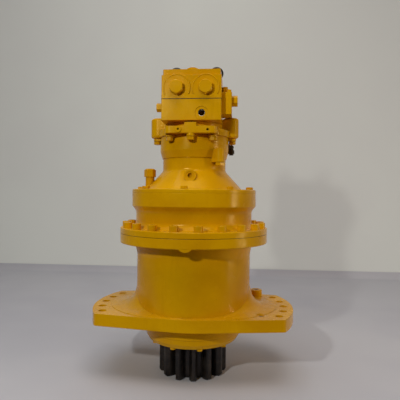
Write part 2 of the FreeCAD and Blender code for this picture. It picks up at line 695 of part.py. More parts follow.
def carrier(planets, centre_r, pin_r, plate_z, plate_t, cap_z, cap_t, cap_hole_r):
    """Two plates joined by bridges between the planets."""
    bridge_places = around(planets, CARRIER_R - BRIDGE_R - 1.0, 180.0 / planets)
    plate = rod(CARRIER_R, plate_z, plate_z + plate_t)
    cap = pipe(cap_hole_r, CARRIER_R, cap_z, cap_z + cap_t)
    bridges = [rod(BRIDGE_R, plate_z + plate_t - 1.0, cap_z + 1.0, x, y) for x, y in bridge_places]
    body = fused([plate, cap] + bridges)
    pins = [rod(pin_r + SEAT_FIT, plate_z - 1.0, cap_z + cap_t + 1.0, x, y)
            for x, y in around(planets, centre_r)]
    return body.cut(pins)


def output_centre_r():
    return GEAR_MODULE * (OUTPUT_SUN_TEETH + OUTPUT_PLANET_TEETH) / 2.0


def input_centre_r():
    return GEAR_MODULE * (INPUT_SUN_TEETH + INPUT_PLANET_TEETH) / 2.0


def output_sun_tip_r():
    return GEAR_MODULE * (OUTPUT_SUN_TEETH / 2.0 + 1.0)


def input_sun_tip_r():
    return GEAR_MODULE * (INPUT_SUN_TEETH / 2.0 + 1.0)


def output_carrier():
    body = carrier(OUTPUT_PLANETS, output_centre_r(), OUTPUT_PIN_R, OUTPUT_CARRIER_Z, OUTPUT_CARRIER_T,
                   OUTPUT_CAP_Z, OUTPUT_CARRIER_CAP_T, output_sun_tip_r() + 3.0)
    hub = turned((0, HUB_BOTTOM), (OUTPUT_HUB_R, HUB_BOTTOM, 3.0), (OUTPUT_HUB_R, OUTPUT_CARRIER_Z, 8.0),
                 (OUTPUT_HUB_R + 14.0, OUTPUT_CARRIER_Z), (OUTPUT_HUB_R + 14.0, OUTPUT_CARRIER_Z + 1.0),
                 (0, OUTPUT_CARRIER_Z + 1.0))
    bore = splined(UPPER_SEAT_R, SHAFT_SPLINE_DEPTH, SHAFT_SPLINES, HUB_BOTTOM - 1.0, END_PLATE_Z + 1.0, SEAT_FIT)
    recess = rod(END_PLATE_R + SIDE_GAP, END_PLATE_Z, OUTPUT_CARRIER_Z + OUTPUT_CARRIER_T + 1.0)
    return fused([body, hub]).cut([bore, recess])


def end_plate_places():
    return around(END_BOLTS, END_BOLT_CIRCLE_R, 90.0)


def end_plate():
    """Plate on the shaft's end that holds the carrier on its splines, with a pad for the sun gear above."""
    plate = rod(END_PLATE_R, END_PLATE_Z, END_PLATE_TOP)
    pad = rod(14.0, END_PLATE_TOP - 1.0, OUTPUT_GEAR_Z - SUN_OVERHANG - SIDE_GAP)
    sink = END_PLATE_TOP - END_BOLT_HEAD - 1.0
    holes = [rod(END_BOLT_R, END_PLATE_Z - 1.0, END_PLATE_TOP + 1.0, x, y) for x, y in end_plate_places()]
    sinks = [rod(END_BOLT_HEAD_R + 0.5, sink, END_PLATE_TOP + 1.0, x, y) for x, y in end_plate_places()]
    return plate.fuse(pad).cut(holes + sinks)


def end_plate_bolts():
    bolts = []
    seat = END_PLATE_TOP - END_BOLT_HEAD - 1.0
    for x, y in end_plate_places():
        head = rod(END_BOLT_HEAD_R, seat, seat + END_BOLT_HEAD, x, y)
        bolts.append(head.fuse(rod(END_BOLT_R - RUN_FIT, SHAFT_TOP - END_BOLT_DEPTH, seat, x, y)))
    return bolts


def planet_pins(planets, centre_r, pin_r, z0, z1):
    return [rod(pin_r, z0, z1, x, y) for x, y in around(planets, centre_r)]


def thrust_washers(planets, centre_r, pin_r, heights):
    return [pipe(pin_r + SEAT_FIT, pin_r + BUSH_T + 6.0, z, z + WASHER_T, x, y)
            for x, y in around(planets, centre_r) for z in heights]


def sun_phase(sun_teeth, planet_teeth):
    """Phase that puts the sun in mesh with a planet on +X that has a tooth centred on +X."""
    return 2.0 * math.pi / sun_teeth * (planet_teeth + 1) / 2.0


def planet_phase(angle, planet_teeth):
    """Phase of a planet at this angle, from the ring that has a space centred on +X."""
    return angle + (RING_TEETH * -angle) / planet_teeth


def planet(angle, centre_r, teeth, pin_r, z0, z1):
    """Planet gear at an angle in degrees, with its pressed bush as a second solid."""
    a = math.radians(angle)
    middle = at(centre_r, a)
    wheel = gear(teeth, planet_phase(a, teeth), z0, z1)
    wheel = wheel.cut(rod(pin_r + BUSH_T + SEAT_FIT, z0 - 1.0, z1 + 1.0))
    bush = pipe(pin_r + RUN_FIT, pin_r + BUSH_T, z0, z1)
    for solid in (wheel, bush):
        solid.translate(middle)
    return [wheel, bush]


def output_sun():
    """Output stage sun with a splined stem driven by the input carrier."""
    z0 = OUTPUT_GEAR_Z - SUN_OVERHANG
    wheel = gear(OUTPUT_SUN_TEETH, sun_phase(OUTPUT_SUN_TEETH, OUTPUT_PLANET_TEETH), z0,
                 OUTPUT_GEAR_TOP + SUN_OVERHANG)
    stem = rod(SUN_STEM_R - 4.0, OUTPUT_GEAR_TOP, INPUT_CARRIER_Z - 4.0)
    spline = splined(SUN_STEM_R, 4.0, 12, INPUT_CARRIER_Z - 4.0, INPUT_CARRIER_Z + INPUT_CARRIER_T)
    return fused([wheel, stem, spline])


def input_carrier():
    body = carrier(INPUT_PLANETS, input_centre_r(), INPUT_PIN_R, INPUT_CARRIER_Z, INPUT_CARRIER_T,
                   INPUT_CAP_Z, INPUT_CARRIER_CAP_T, input_sun_tip_r() + 3.0)
    bore = splined(SUN_STEM_R, 4.0, 12, INPUT_CARRIER_Z - 1.0, INPUT_CARRIER_Z + INPUT_CARRIER_T + 1.0, SEAT_FIT)
    return body.cut(bore)


def input_sun():
    """Input sun cut on the end of the sleeve that takes the motor shaft's splines."""
    z0 = INPUT_GEAR_Z - SIDE_GAP
    wheel = gear(INPUT_SUN_TEETH, sun_phase(INPUT_SUN_TEETH, INPUT_PLANET_TEETH), z0,
                 INPUT_GEAR_TOP + SUN_OVERHANG)
    neck_r = GEAR_MODULE * (INPUT_SUN_TEETH / 2.0 - 1.25)
    sleeve = turned((0, INPUT_GEAR_TOP), (neck_r, INPUT_GEAR_TOP), (neck_r, INPUT_CAP_TOP + 4.0, 4.0),
                    (INPUT_SLEEVE_R, INPUT_CAP_TOP + 10.0), (INPUT_SLEEVE_R, CONE_TOP - 12.0, 2.0),
                    (0, CONE_TOP - 12.0))
    bore = splined(SPLINE_SHAFT_R, 3.0, 10, INPUT_CAP_TOP + 12.0, CONE_TOP, SEAT_FIT)
    return fused([wheel, sleeve]).cut(bore)


def ring_housing():
    """Housing between case and cover with the internal teeth of both stages broached through it."""
    outside = turned((0, RING_BOTTOM), (RING_SPIGOT_R, RING_BOTTOM), (RING_SPIGOT_R, RING_SEAT),
                     (RIM_R, RING_SEAT), (RIM_R, RING_RIM_TOP, 2.0), (NECK_FOOT_R + 2.0, RING_RIM_TOP, 6.0),
                     (NECK_R, RING_RIM_TOP + 14.0, 16.0), (NECK_R, NECK_TOP - 14.0, 18.0),
                     (LOBE_R, NECK_TOP), (LOBE_R, HOUSING_TOP), (0, HOUSING_TOP))
    teeth = toothed(RING_TEETH, GEAR_MODULE, GEAR_PRESSURE_ANGLE, RING_TIP_R, RING_ROOT_R, -FLANK_RELIEF, 0.0,
                    RING_BOTTOM - 1.0, HOUSING_TOP + 1.0)
    holes = [rod(RIM_BOLT_R, RING_SEAT - 1.0, RING_RIM_TOP + 20.0, x, y) for x, y in rim_places()]
    holes += [rod(COVER_BOLT_R, HOUSING_TOP - 26.0, HOUSING_TOP + 1.0, x, y) for x, y in cover_places()]
    return outside.cut(teeth).cut(holes)


def cover_places():
    return around(COVER_BOLTS, COVER_BOLT_CIRCLE_R, COVER_BOLT_PHASE)


def gasket(r_in, r_out, z0, places, hole_r):
    ring = pipe(r_in, r_out, z0, z0 + GASKET_T)
    return ring.cut([rod(hole_r, z0 - 1.0, z0 + GASKET_T + 1.0, x, y) for x, y in places])


def cap_screws(places, shank_r, head_r, head_h, seat_z, tip_z):
    """Socket head screws pointing down from their seat."""
    shank_r = shank_r - RUN_FIT
    screws = []
    for x, y in places:
        head = turned((0, seat_z), (head_r, seat_z), (head_r, seat_z + head_h, 1.5), (0, seat_z + head_h))
        head = head.cut(hexagon(head_r, seat_z + head_h / 2.0, seat_z + head_h + 1.0))
        head.translate(FreeCAD.Vector(x, y, 0))
        screws.append(head.fuse(rod(shank_r, tip_z, seat_z, x, y)))
    return screws


def hex_bolts(places, shank_r, across_flats, head_h, seat_z, tip_z):
    """Hexagon head bolts; a tip above the seat makes them point up."""
    way = 1.0 if tip_z > seat_z else -1.0
    bolts = []
    for x, y in places:
        head = hexagon(across_flats, min(seat_z, seat_z - way * head_h), max(seat_z, seat_z - way * head_h),
                       x, y, 15.0)
        shank = rod(shank_r - RUN_FIT, min(seat_z, tip_z), max(seat_z, tip_z), x, y)
        bolts.append(head.fuse(shank))
    return bolts


def ear_places():
    points = [at(EAR_CIRCLE_R, math.radians(angle)) for angle in EAR_ANGLES]
    return [(p.x, p.y) for p in points]


def ears(z0, z1, root_r):
    """Two opposite bolting ears that run into the round body behind them."""
    shapes = []
    for angle in EAR_ANGLES:
        web = block(root_r - 30.0, EAR_CIRCLE_R, -EAR_R, EAR_R, z0, z1)
        web.rotate(FreeCAD.Vector(), UP, angle)
        shapes.append(web)
    return shapes + [rod(EAR_R, z0, z1, x, y) for x, y in ear_places()]


def top_cover():
    """Cone shaped cover from the ring housing to the motor, with filler neck and level plug boss."""
    outside = turned((0, COVER_SEAT), (LOBE_R, COVER_SEAT), (LOBE_R, COVER_FLANGE_TOP, 3.0),
                     (CONE_FOOT_R + 3.0, COVER_FLANGE_TOP, 4.0), (CONE_TOP_R, CONE_TOP, 12.0),
                     (CONE_TOP_R, COVER_TOP), (0, COVER_TOP))
    plug_boss = rod_y(COVER_PLUG_R + 6.0, -CONE_FOOT_R + 18.0, -CONE_TOP_R + 15.0, 0, COVER_PLUG_Z)
    filler = rod(FILLER_R, COVER_FLANGE_TOP - 2.0, COVER_FLANGE_TOP + FILLER_H, *FILLER)
    outside = fused([outside, plug_boss, filler] + ears(COVER_EAR_Z, COVER_TOP, CONE_TOP_R))
    inside = turned((0, COVER_SEAT - 1.0), (RING_TIP_R, COVER_SEAT - 1.0), (RING_TIP_R, COVER_SEAT + 2.0),
                    (CONE_FOOT_R - COVER_WALL, COVER_FLANGE_TOP + 4.0), (CONE_TOP_R - COVER_WALL, CONE_TOP, 10.0),
                    (CONE_TOP_R - COVER_WALL, COVER_TOP - 14.0), (CONE_TOP_R - 12.0, COVER_TOP - 14.0),
                    (CONE_TOP_R - 12.0, COVER_TOP + 1.0), (0, COVER_TOP + 1.0))
    holes = [rod(COVER_BOLT_R, COVER_SEAT - 1.0, COVER_FLANGE_TOP + 1.0, x, y) for x, y in cover_places()]
    holes += [rod(EAR_BOLT_R, COVER_EAR_Z - 1.0, COVER_TOP + 1.0, x, y) for x, y in ear_places()]
    holes.append(rod(FILLER_R - 5.0, COVER_SEAT - 1.0, COVER_FLANGE_TOP + FILLER_H + 1.0, *FILLER))
    holes.append(rod_y(COVER_PLUG_R, -CONE_FOOT_R, -CONE_TOP_R + 30.0, 0, COVER_PLUG_Z))
    return outside.cut(inside).cut(holes)


def filler_cap():
    z0 = COVER_FLANGE_TOP + FILLER_H
    stem = rod(FILLER_R - 5.0 - RUN_FIT, z0 - 14.0, z0 + 1.0, *FILLER)
    cap = hexagon(FILLER_CAP_AF, z0, z0 + FILLER_CAP_H, FILLER[0], FILLER[1], 10.0)
    crown = turned((0, z0), (FILLER_CAP_AF / 2.0 + 2.0, z0), (FILLER_CAP_AF / 2.0 + 2.0, z0 + FILLER_CAP_H - 4.0),
                   (FILLER_CAP_AF / 2.0 - 3.0, z0 + FILLER_CAP_H), (0, z0 + FILLER_CAP_H))
    crown.translate(FreeCAD.Vector(FILLER[0], FILLER[1], 0))
    return fused([stem, cap.common(crown)])


def socket_plug(r, length, af, head_r=0.0, head_t=0.0):
    """Screw plug along +Z with its face at the origin and a hexagon socket in it."""
    parts = [rod(r - RUN_FIT, -length, 0)]
    if head_t > 0.0:
        parts.append(rod(head_r, 0, head_t))
    return fused(parts).cut(hexagon(af, head_t - r * 0.7, head_t + 1.0))


def cover_plug():
    return facing(socket_plug(COVER_PLUG_R, 18.0, 12.0), (0, -1, 0), (0, -CONE_FOOT_R + 19.0, COVER_PLUG_Z))


MOTOR_FLOOR = COVER_TOP + 5.0 + MOTOR_BEARING_W
LOWER_MOTOR_BEARING = TaperBearing(MOTOR_SHAFT_R + SEAT_FIT, MOTOR_BEARING_R, COVER_TOP + 5.0,
                                   MOTOR_BEARING_W, MOTOR_RACE_T, MOTOR_BEARING_ROLLERS, False)
UPPER_MOTOR_BEARING = TaperBearing(MOTOR_SHAFT_R + SEAT_FIT, MOTOR_BEARING_R,
                                   CYLINDER_BLOCK_TOP + 8.0, MOTOR_BEARING_W, MOTOR_RACE_T,
                                   MOTOR_BEARING_ROLLERS, True)
UPPER_MOTOR_BEARING_TOP = CYLINDER_BLOCK_TOP + 8.0 + MOTOR_BEARING_W
BRAKE_STACK_Z = CYLINDER_BLOCK_Z + 8.0
BRAKE_PISTON_Z = BRAKE_STACK_Z + (2 * FRICTION_DISCS + 1) * (BRAKE_DISC_T + SIDE_GAP)
BRAKE_SPRING_Z = BRAKE_PISTON_Z + BRAKE_PISTON_H + SIDE_GAP
MOTOR_CAVITY_TOP = BRAKE_SPRING_Z + BRAKE_SPRING_H + SIDE_GAP


def flange_bolt_places():
    angles = [side + spread for side in (-90.0, 90.0) for spread in (-BLOCK_BOLT_SPREAD, 0.0, BLOCK_BOLT_SPREAD)]
    points = [at(BLOCK_BOLT_CIRCLE_R, math.radians(angle)) for angle in angles + [0.0, 180.0]]
    return [(p.x, p.y) for p in points]


def motor_flange(z0, z1):
    """Round flange with a straight pad at the front and at the back."""
    x = MOTOR_PAD_X
    y = MOTOR_FLANGE_R
    r = MOTOR_PAD_ROUNDING
    pads = prism([(-x, -y, r), (x, -y, r), (x, y, r), (-x, y, r)], z0, z1)
    return rod(MOTOR_FLANGE_DISC_R, z0, z1).fuse(pads)


def lug(x, y, z0, z1):
    """Round bolt lug beside the motor, joined to it by a web."""
    r = LUG_ROUNDING
    column = turned((0, z0), (LUG_R, z0, r), (LUG_R, z1, r), (0, z1))
    web = block(min(0, x), max(0, x), -LUG_R, LUG_R, z0 + r, z1 - r)
    return column.translated(FreeCAD.Vector(x, y, 0)).fuse(web)


def lug_places():
    return [(-LUG_X, 0.0), (LUG_X, 0.0)]


def casing_ears():
    """Thin ears under the cover's flange for the heads of its bolts."""
    ears_z = MOTOR_FLANGE_Z - CASING_EAR_T
    shapes = []
    for x, y in flange_bolt_places():
        web = block(MOTOR_R - 15.0, BLOCK_BOLT_CIRCLE_R, -CASING_EAR_R, CASING_EAR_R, ears_z, MOTOR_FLANGE_Z)
        web.rotate(FreeCAD.Vector(), UP, math.degrees(math.atan2(y, x)))
        shapes += [web, rod(CASING_EAR_R, ears_z, MOTOR_FLANGE_Z, x, y)]
    return shapes


def on_fitting(shape, r):
    """Shape built along +Z, turned to point out of the casing wall at the hose fitting, r from the axis."""
    a = math.radians(FITTING_ANGLE)
    out = (math.cos(a), math.sin(a), 0.0)
    return facing(shape, out, (r * out[0], r * out[1], FITTING_Z))


def motor_casing():
    """Round lower housing of the motor with ears for the cover's bolts and for the bolts of the top cover."""
    round_body = turned((0, COVER_TOP), (MOTOR_FOOT_R, COVER_TOP), (MOTOR_R, COVER_TOP + 21.0, 10.0),
                        (MOTOR_R, MOTOR_FLANGE_Z), (0, MOTOR_FLANGE_Z))
    spigot = rod(CONE_TOP_R - 12.0 - SEAT_FIT, COVER_TOP - MOTOR_SPIGOT_DEPTH, COVER_TOP + 1.0)
    body = fused([round_body, spigot] + casing_ears() + ears(COVER_TOP, COVER_TOP + MOTOR_EAR_T, MOTOR_R))
    spigot_floor = COVER_TOP - MOTOR_SPIGOT_DEPTH
    bore = turned((0, spigot_floor - 1.0), (MOTOR_BEARING_R - 4.0, spigot_floor - 1.0),
                  (MOTOR_BEARING_R - 4.0, COVER_TOP - 1.0), (MOTOR_SHAFT_R + 4.0, COVER_TOP - 1.0),
                  (MOTOR_SHAFT_R + 4.0, COVER_TOP + 5.0), (MOTOR_BEARING_R + SEAT_FIT, COVER_TOP + 5.0),
                  (MOTOR_BEARING_R + SEAT_FIT, MOTOR_FLOOR), (BRAKE_R + RUN_FIT, MOTOR_FLOOR),
                  (BRAKE_R + RUN_FIT, MOTOR_FLANGE_Z + 1.0), (0, MOTOR_FLANGE_Z + 1.0))
    holes = [rod(BLOCK_BOLT_R, MOTOR_FLANGE_Z - CASING_EAR_T - 1.0, MOTOR_FLANGE_Z + 1.0, x, y)
             for x, y in flange_bolt_places()]
    holes += [rod(EAR_BOLT_R, COVER_TOP - 1.0, COVER_TOP + MOTOR_EAR_T + 1.0, x, y) for x, y in ear_places()]
    holes.append(on_fitting(rod(FITTING_AF * 0.65, 0, FITTING_ARM), FITTING_SEAT_R))
    holes.append(on_fitting(rod(FITTING_STEM_R, -FITTING_STEM - 1.0, 1.0), FITTING_SEAT_R))
    return body.cut(bore).cut(holes)


def motor_seal():
    z0 = COVER_TOP - MOTOR_SPIGOT_DEPTH + 1.0
    return turned((MOTOR_BEARING_R - 4.0, z0), (MOTOR_BEARING_R - 4.0, z0 + 9.0),
                  (MOTOR_BEARING_R - 7.0, z0 + 9.0), (MOTOR_BEARING_R - 7.0, z0 + 2.0),
                  (MOTOR_SHAFT_R + 6.0, z0 + 2.0), (MOTOR_SHAFT_R + 4.0, z0 + 8.0),
                  (MOTOR_SHAFT_R + RUN_FIT, z0 + 6.0), (MOTOR_SHAFT_R + 1.0, z0))


def motor_shaft():
    spline_top = CONE_TOP - 8.0
    spline = splined(SPLINE_SHAFT_R, 3.0, 10, INPUT_CAP_TOP + 14.0, spline_top)
    neck = rod(SPLINE_SHAFT_R - 3.0, spline_top - 1.0, COVER_TOP - MOTOR_SPIGOT_DEPTH - 4.0)
    body = rod(MOTOR_SHAFT_R, COVER_TOP - MOTOR_SPIGOT_DEPTH - 4.0, UPPER_MOTOR_BEARING_TOP)
    return fused([spline, neck, body])


def swash_plate():
    """Fixed wedge that the piston shoes run on."""
    top = CYLINDER_BLOCK_Z - 10.0
    wedge = pipe(MOTOR_SHAFT_R + 6.0, SWASH_R, MOTOR_FLOOR, top)
    rise = SWASH_R * math.tan(math.radians(SWASH_ANGLE))
    cutter = block(-2.0 * SWASH_R, 2.0 * SWASH_R, -2.0 * SWASH_R, 2.0 * SWASH_R, 0.0, 3.0 * SWASH_R)
    cutter.rotate(FreeCAD.Vector(), FreeCAD.Vector(1, 0, 0), SWASH_ANGLE)
    cutter.translate(FreeCAD.Vector(0, 0, top - rise))
    return wedge.cut(cutter)


def piston_places():
    return around(PISTONS, PISTON_CIRCLE_R, 0.0)


def cylinder_block():
    drum = pipe(MOTOR_SHAFT_R + SEAT_FIT, CYLINDER_BLOCK_R, CYLINDER_BLOCK_Z, CYLINDER_BLOCK_TOP)
    bores = [rod(PISTON_R + RUN_FIT, CYLINDER_BLOCK_Z - 1.0, CYLINDER_BLOCK_TOP - 12.0, x, y)
             for x, y in piston_places()]
    ports = [rod(PISTON_R * 0.5, CYLINDER_BLOCK_TOP - 13.0, CYLINDER_BLOCK_TOP + 1.0, x, y)
             for x, y in piston_places()]
    return drum.cut(bores + ports)


def pistons():
    z0 = CYLINDER_BLOCK_Z - 9.0
    piston = turned((0, z0), (PISTON_R * 0.75, z0), (PISTON_R * 0.75, z0 + 6.0), (PISTON_R, z0 + 9.0),
                    (PISTON_R, CYLINDER_BLOCK_TOP - 22.0), (0, CYLINDER_BLOCK_TOP - 22.0))
    return [piston.translated(FreeCAD.Vector(x, y, 0)) for x, y in piston_places()]


def disc_z(index):
    return BRAKE_STACK_Z + index * (BRAKE_DISC_T + SIDE_GAP)


def friction_discs():
    return [pipe(CYLINDER_BLOCK_R + SEAT_FIT, BRAKE_R - 5.0, disc_z(2 * i + 1), disc_z(2 * i + 1) + BRAKE_DISC_T)
            for i in range(FRICTION_DISCS)]


def brake_plates():
    return [pipe(CYLINDER_BLOCK_R + 4.0, BRAKE_R, disc_z(2 * i), disc_z(2 * i) + BRAKE_DISC_T)
            for i in range(FRICTION_DISCS + 1)]


def brake_piston():
    return pipe(CYLINDER_BLOCK_R + 3.0, BRAKE_R, BRAKE_PISTON_Z + SIDE_GAP, BRAKE_PISTON_Z + BRAKE_PISTON_H)


def brake_spring():
    """Dished spring washer that pushes the brake piston down."""
    z0 = BRAKE_SPRING_Z
    z1 = BRAKE_SPRING_Z + BRAKE_SPRING_H
    return turned((BRAKE_R - 4.0, z0), (BRAKE_R - 1.0, z0), (BRAKE_R - 1.0, z0 + 4.0),
                  (CYLINDER_BLOCK_R + 9.0, z1), (CYLINDER_BLOCK_R + 6.0, z1), (CYLINDER_BLOCK_R + 6.0, z1 - 4.0))


def valve_plate():
    plate = pipe(MOTOR_SHAFT_R + 6.0, CYLINDER_BLOCK_R, CYLINDER_BLOCK_TOP + SIDE_GAP, CYLINDER_BLOCK_TOP + 8.0)
    kidneys = [kidney(angle) for angle in (0, 180)]
    return plate.cut(kidneys)


def kidney(angle):
    """Curved port slot over half of the piston circle."""
    half = PISTON_R * 0.5
    ring = pipe(PISTON_CIRCLE_R - half, PISTON_CIRCLE_R + half, CYLINDER_BLOCK_TOP, CYLINDER_BLOCK_TOP + 9.0)
    slot = ring.common(block(10.0, 80.0, -80.0, 80.0, CYLINDER_BLOCK_TOP, CYLINDER_BLOCK_TOP + 9.0))
    slot.rotate(FreeCAD.Vector(), UP, angle)
    return slot


def block_outline(inset, z0, z1, front):
    w = BLOCK_WIDTH / 2.0 - inset
    c = BLOCK_CORNER_R
    back = BLOCK_FRONT + BLOCK_DEPTH - inset
    return prism([(-w, front, c), (w, front, c), (w, back, c), (-w, back, c)], z0, z1)


def motor_cover():
    """Lower valve casting: closes the motor, holds its upper bearing and carries the oil port."""
    body = block_outline(0.0, COVER_BLOCK_Z, COVER_BLOCK_TOP, BLOCK_FRONT)
    waist = rod(WAIST_R, MOTOR_FLANGE_Z, COVER_BLOCK_Z + 1.0)
    flange = motor_flange(MOTOR_FLANGE_Z, MOTOR_FLANGE_TOP)
    boss = block(-FLANGE_BOSS_X, FLANGE_BOSS_X, -MOTOR_FLANGE_R, MOTOR_FLANGE_R, MOTOR_FLANGE_TOP,
                 FLANGE_BOSS_TOP)
    lugs = [lug(x, y, MOTOR_FLANGE_Z, LUG_TOP) for x, y in lug_places()]
    body = fused([body, waist, flange, boss] + lugs)
    bore = turned((0, MOTOR_FLANGE_Z - 1.0), (BRAKE_R + RUN_FIT, MOTOR_FLANGE_Z - 1.0),
                  (BRAKE_R + RUN_FIT, MOTOR_CAVITY_TOP), (CYLINDER_BLOCK_R + SIDE_GAP, MOTOR_CAVITY_TOP),
                  (CYLINDER_BLOCK_R + SIDE_GAP, CYLINDER_BLOCK_TOP + 8.0),
                  (MOTOR_BEARING_R + SEAT_FIT, CYLINDER_BLOCK_TOP + 8.0),
                  (MOTOR_BEARING_R + SEAT_FIT, COVER_BLOCK_TOP + 1.0), (0, COVER_BLOCK_TOP + 1.0))
    x, z = PORT
    holes = [rod_y(PORT_R, BLOCK_FRONT - 1.0, BLOCK_FRONT + PORT_DEPTH, x, z),
             rod_y(PORT_FACE_R, BLOCK_FRONT - 1.0, BLOCK_FRONT + 1.0, x, z)]
    holes += [rod(BLOCK_BOLT_R, MOTOR_FLANGE_Z - 1.0, MOTOR_FLANGE_Z + BLOCK_BOLT_REACH + 1.0, px, py)
              for px, py in flange_bolt_places()]
    holes.append(rod_y(DRAIN_PLUG_R, -MOTOR_FLANGE_R - 1.0, -MOTOR_FLANGE_R + DRAIN_PLUG_DEPTH + 1.0,
                       DRAIN_PLUG_X, DRAIN_PLUG_Z))
    holes.append(rod_y(VENT_R, -MOTOR_FLANGE_R - 1.0, -MOTOR_FLANGE_R + VENT_DEPTH, *VENT))
    left = -BLOCK_WIDTH / 2.0
    holes.append(Part.makeCylinder(BLOCK_PLUG_R, BLOCK_PLUG_DEPTH + 2.0,
                                   FreeCAD.Vector(left - 1.0, BLOCK_PLUG_Y, BLOCK_PLUG_Z), FreeCAD.Vector(1, 0, 0)))
    return body.cut(bore).cut(holes)


def valve_block():
    """Upper valve casting with round relief valve bosses on the front and a crown on top."""
    low = block_outline(0.0, COVER_BLOCK_TOP + SIDE_GAP, BLOCK_TOP - 18.0, BLOCK_FRONT + RELIEF_BOSS_T)
    top = block_outline(3.0, BLOCK_TOP - 19.0, BLOCK_TOP, BLOCK_FRONT + RELIEF_BOSS_T + 8.0)
    rim = COVER_BLOCK_TOP + SIDE_GAP
    above = block_outline(0.0, rim, BLOCK_TOP, BLOCK_FRONT)
    bosses = [rod_y(RELIEF_BOSS_R, BLOCK_FRONT, BLOCK_FRONT + 40.0, x, RELIEF_Z).common(above)
              for x in (-RELIEF_X, RELIEF_X)]
    skirt = block_outline(0.0, rim, rim + 12.0, BLOCK_FRONT)
    crown = rod_y(CROWN_R, BLOCK_FRONT + 30.0, BLOCK_FRONT + 130.0, 0, BLOCK_TOP + CROWN_RISE - CROWN_R)
    body = fused([low, top, skirt, crown] + bosses)
    holes = [rod_y(RELIEF_BODY_R + RUN_FIT, BLOCK_FRONT - 1.0, BLOCK_FRONT + RELIEF_LENGTH + 4.0, x, RELIEF_Z)
             for x in (-RELIEF_X, RELIEF_X)]
    holes += [rod(EYE_SHANK_R, BLOCK_TOP - 30.0, BLOCK_TOP + 1.0, x, y) for x, y in EYE_PLACES]
    holes.append(rod(MOTOR_BEARING_R + SEAT_FIT, rim - 1.0, UPPER_MOTOR_BEARING_TOP + SIDE_GAP))
    back = BLOCK_FRONT + BLOCK_DEPTH
    for x in (-MAIN_PORT_X, MAIN_PORT_X):
        holes.append(rod_y(MAIN_PORT_R, back - MAIN_PORT_DEPTH, back + 1.0, x, MAIN_PORT_Z))
        holes += [rod_y(MAIN_PORT_BOLT_R, back - 20.0, back + 1.0, x + a * MAIN_PORT_PITCH_X / 2.0,
                        MAIN_PORT_Z + b * MAIN_PORT_PITCH_Z / 2.0) for a in (-1, 1) for b in (-1, 1)]
    return body.cut(holes)


def relief_valves():
    """Cartridge relief valves with hexagon heads and sealing collars."""
    valves = []
    for x in (-RELIEF_X, RELIEF_X):
        head = hexagon(RELIEF_AF, 0, RELIEF_HEAD, 0.0, 0.0, 30.0)
        rounding = turned((0, 0), (RELIEF_AF * 0.59, 0), (RELIEF_AF * 0.59, RELIEF_HEAD - 4.0),
                          (RELIEF_AF * 0.48, RELIEF_HEAD), (0, RELIEF_HEAD))
        collar = rod(RELIEF_AF * 0.56, 0, 3.0)
        body = turned((0, -RELIEF_LENGTH), (RELIEF_BODY_R - 4.0, -RELIEF_LENGTH),
                      (RELIEF_BODY_R - 4.0, 6.0 - RELIEF_LENGTH), (RELIEF_BODY_R, 8.0 - RELIEF_LENGTH),
                      (RELIEF_BODY_R, 1.0), (0, 1.0))
        valves.append(facing(fused([head.common(rounding), collar, body]), (0, -1, 0),
                             (x, BLOCK_FRONT, RELIEF_Z)))
    return valves


def side_valve():
    """Valve body on the right side with two caps on top and a hexagon plug at its end."""
    w, d, h = SIDE_VALVE_SIZE
    y, z = SIDE_VALVE_AT
    x0 = BLOCK_WIDTH / 2.0
    c = 5.0
    z1 = COVER_BLOCK_TOP - 2.0
    body = prism([(x0, y - d / 2), (x0 + w, y - d / 2, c), (x0 + w, y + d / 2, c), (x0, y + d / 2)], z, z + h)
    plug = facing(hexagon(27.0, 0, 16.0), (1, 0, 0), (x0 + w, y, z1 + 6.0))
    caps = [rod(9.0, z + h - 1.0, z + h + 10.0, x0 + w - 11.0, y - 10.0),
            hexagon(14.0, z + h - 1.0, z + h + 18.0, x0 + 8.0, y - 8.0)]
    return fused([body, plug] + caps)


def block_plug():
    """Hexagon plug with a collar on the left side of the lower casting."""
    stem = rod(BLOCK_PLUG_R - RUN_FIT, -BLOCK_PLUG_DEPTH, 1.0)
    head = fused([hexagon(22.0, 3.0, 20.0), rod(13.5, 0, 4.0), stem])
    return facing(head, (-1, 0, 0), (-BLOCK_WIDTH / 2.0, BLOCK_PLUG_Y, BLOCK_PLUG_Z))


def drain_plug():
    plug = socket_plug(DRAIN_PLUG_R, DRAIN_PLUG_DEPTH, 6.0, DRAIN_PLUG_R + 1.5, 3.0)
    return facing(plug, (0, -1, 0), (DRAIN_PLUG_X, -MOTOR_FLANGE_R, DRAIN_PLUG_Z))


def drain_fitting():
    """Hose fitting screwed into the casing wall, with an elbow that turns it down."""
    elbow_r = FITTING_SEAT_R + FITTING_ARM
    arm = fused([hexagon(FITTING_AF, 0, 9.0), rod(FITTING_TUBE_R, 8.0, FITTING_ARM),
                 rod(FITTING_STEM_R - RUN_FIT, -FITTING_STEM, 1.0)])
    elbow = Part.makeSphere(FITTING_TUBE_R + 1.0)
    tube = fused([elbow, rod(FITTING_TUBE_R, -FITTING_DROP, 0), hexagon(16.0, 4.0 - FITTING_DROP, -9.0)])
    a = math.radians(FITTING_ANGLE)
    tube.translate(FreeCAD.Vector(elbow_r * math.cos(a), elbow_r * math.sin(a), FITTING_Z))
    return fused([on_fitting(arm, FITTING_SEAT_R), tube])


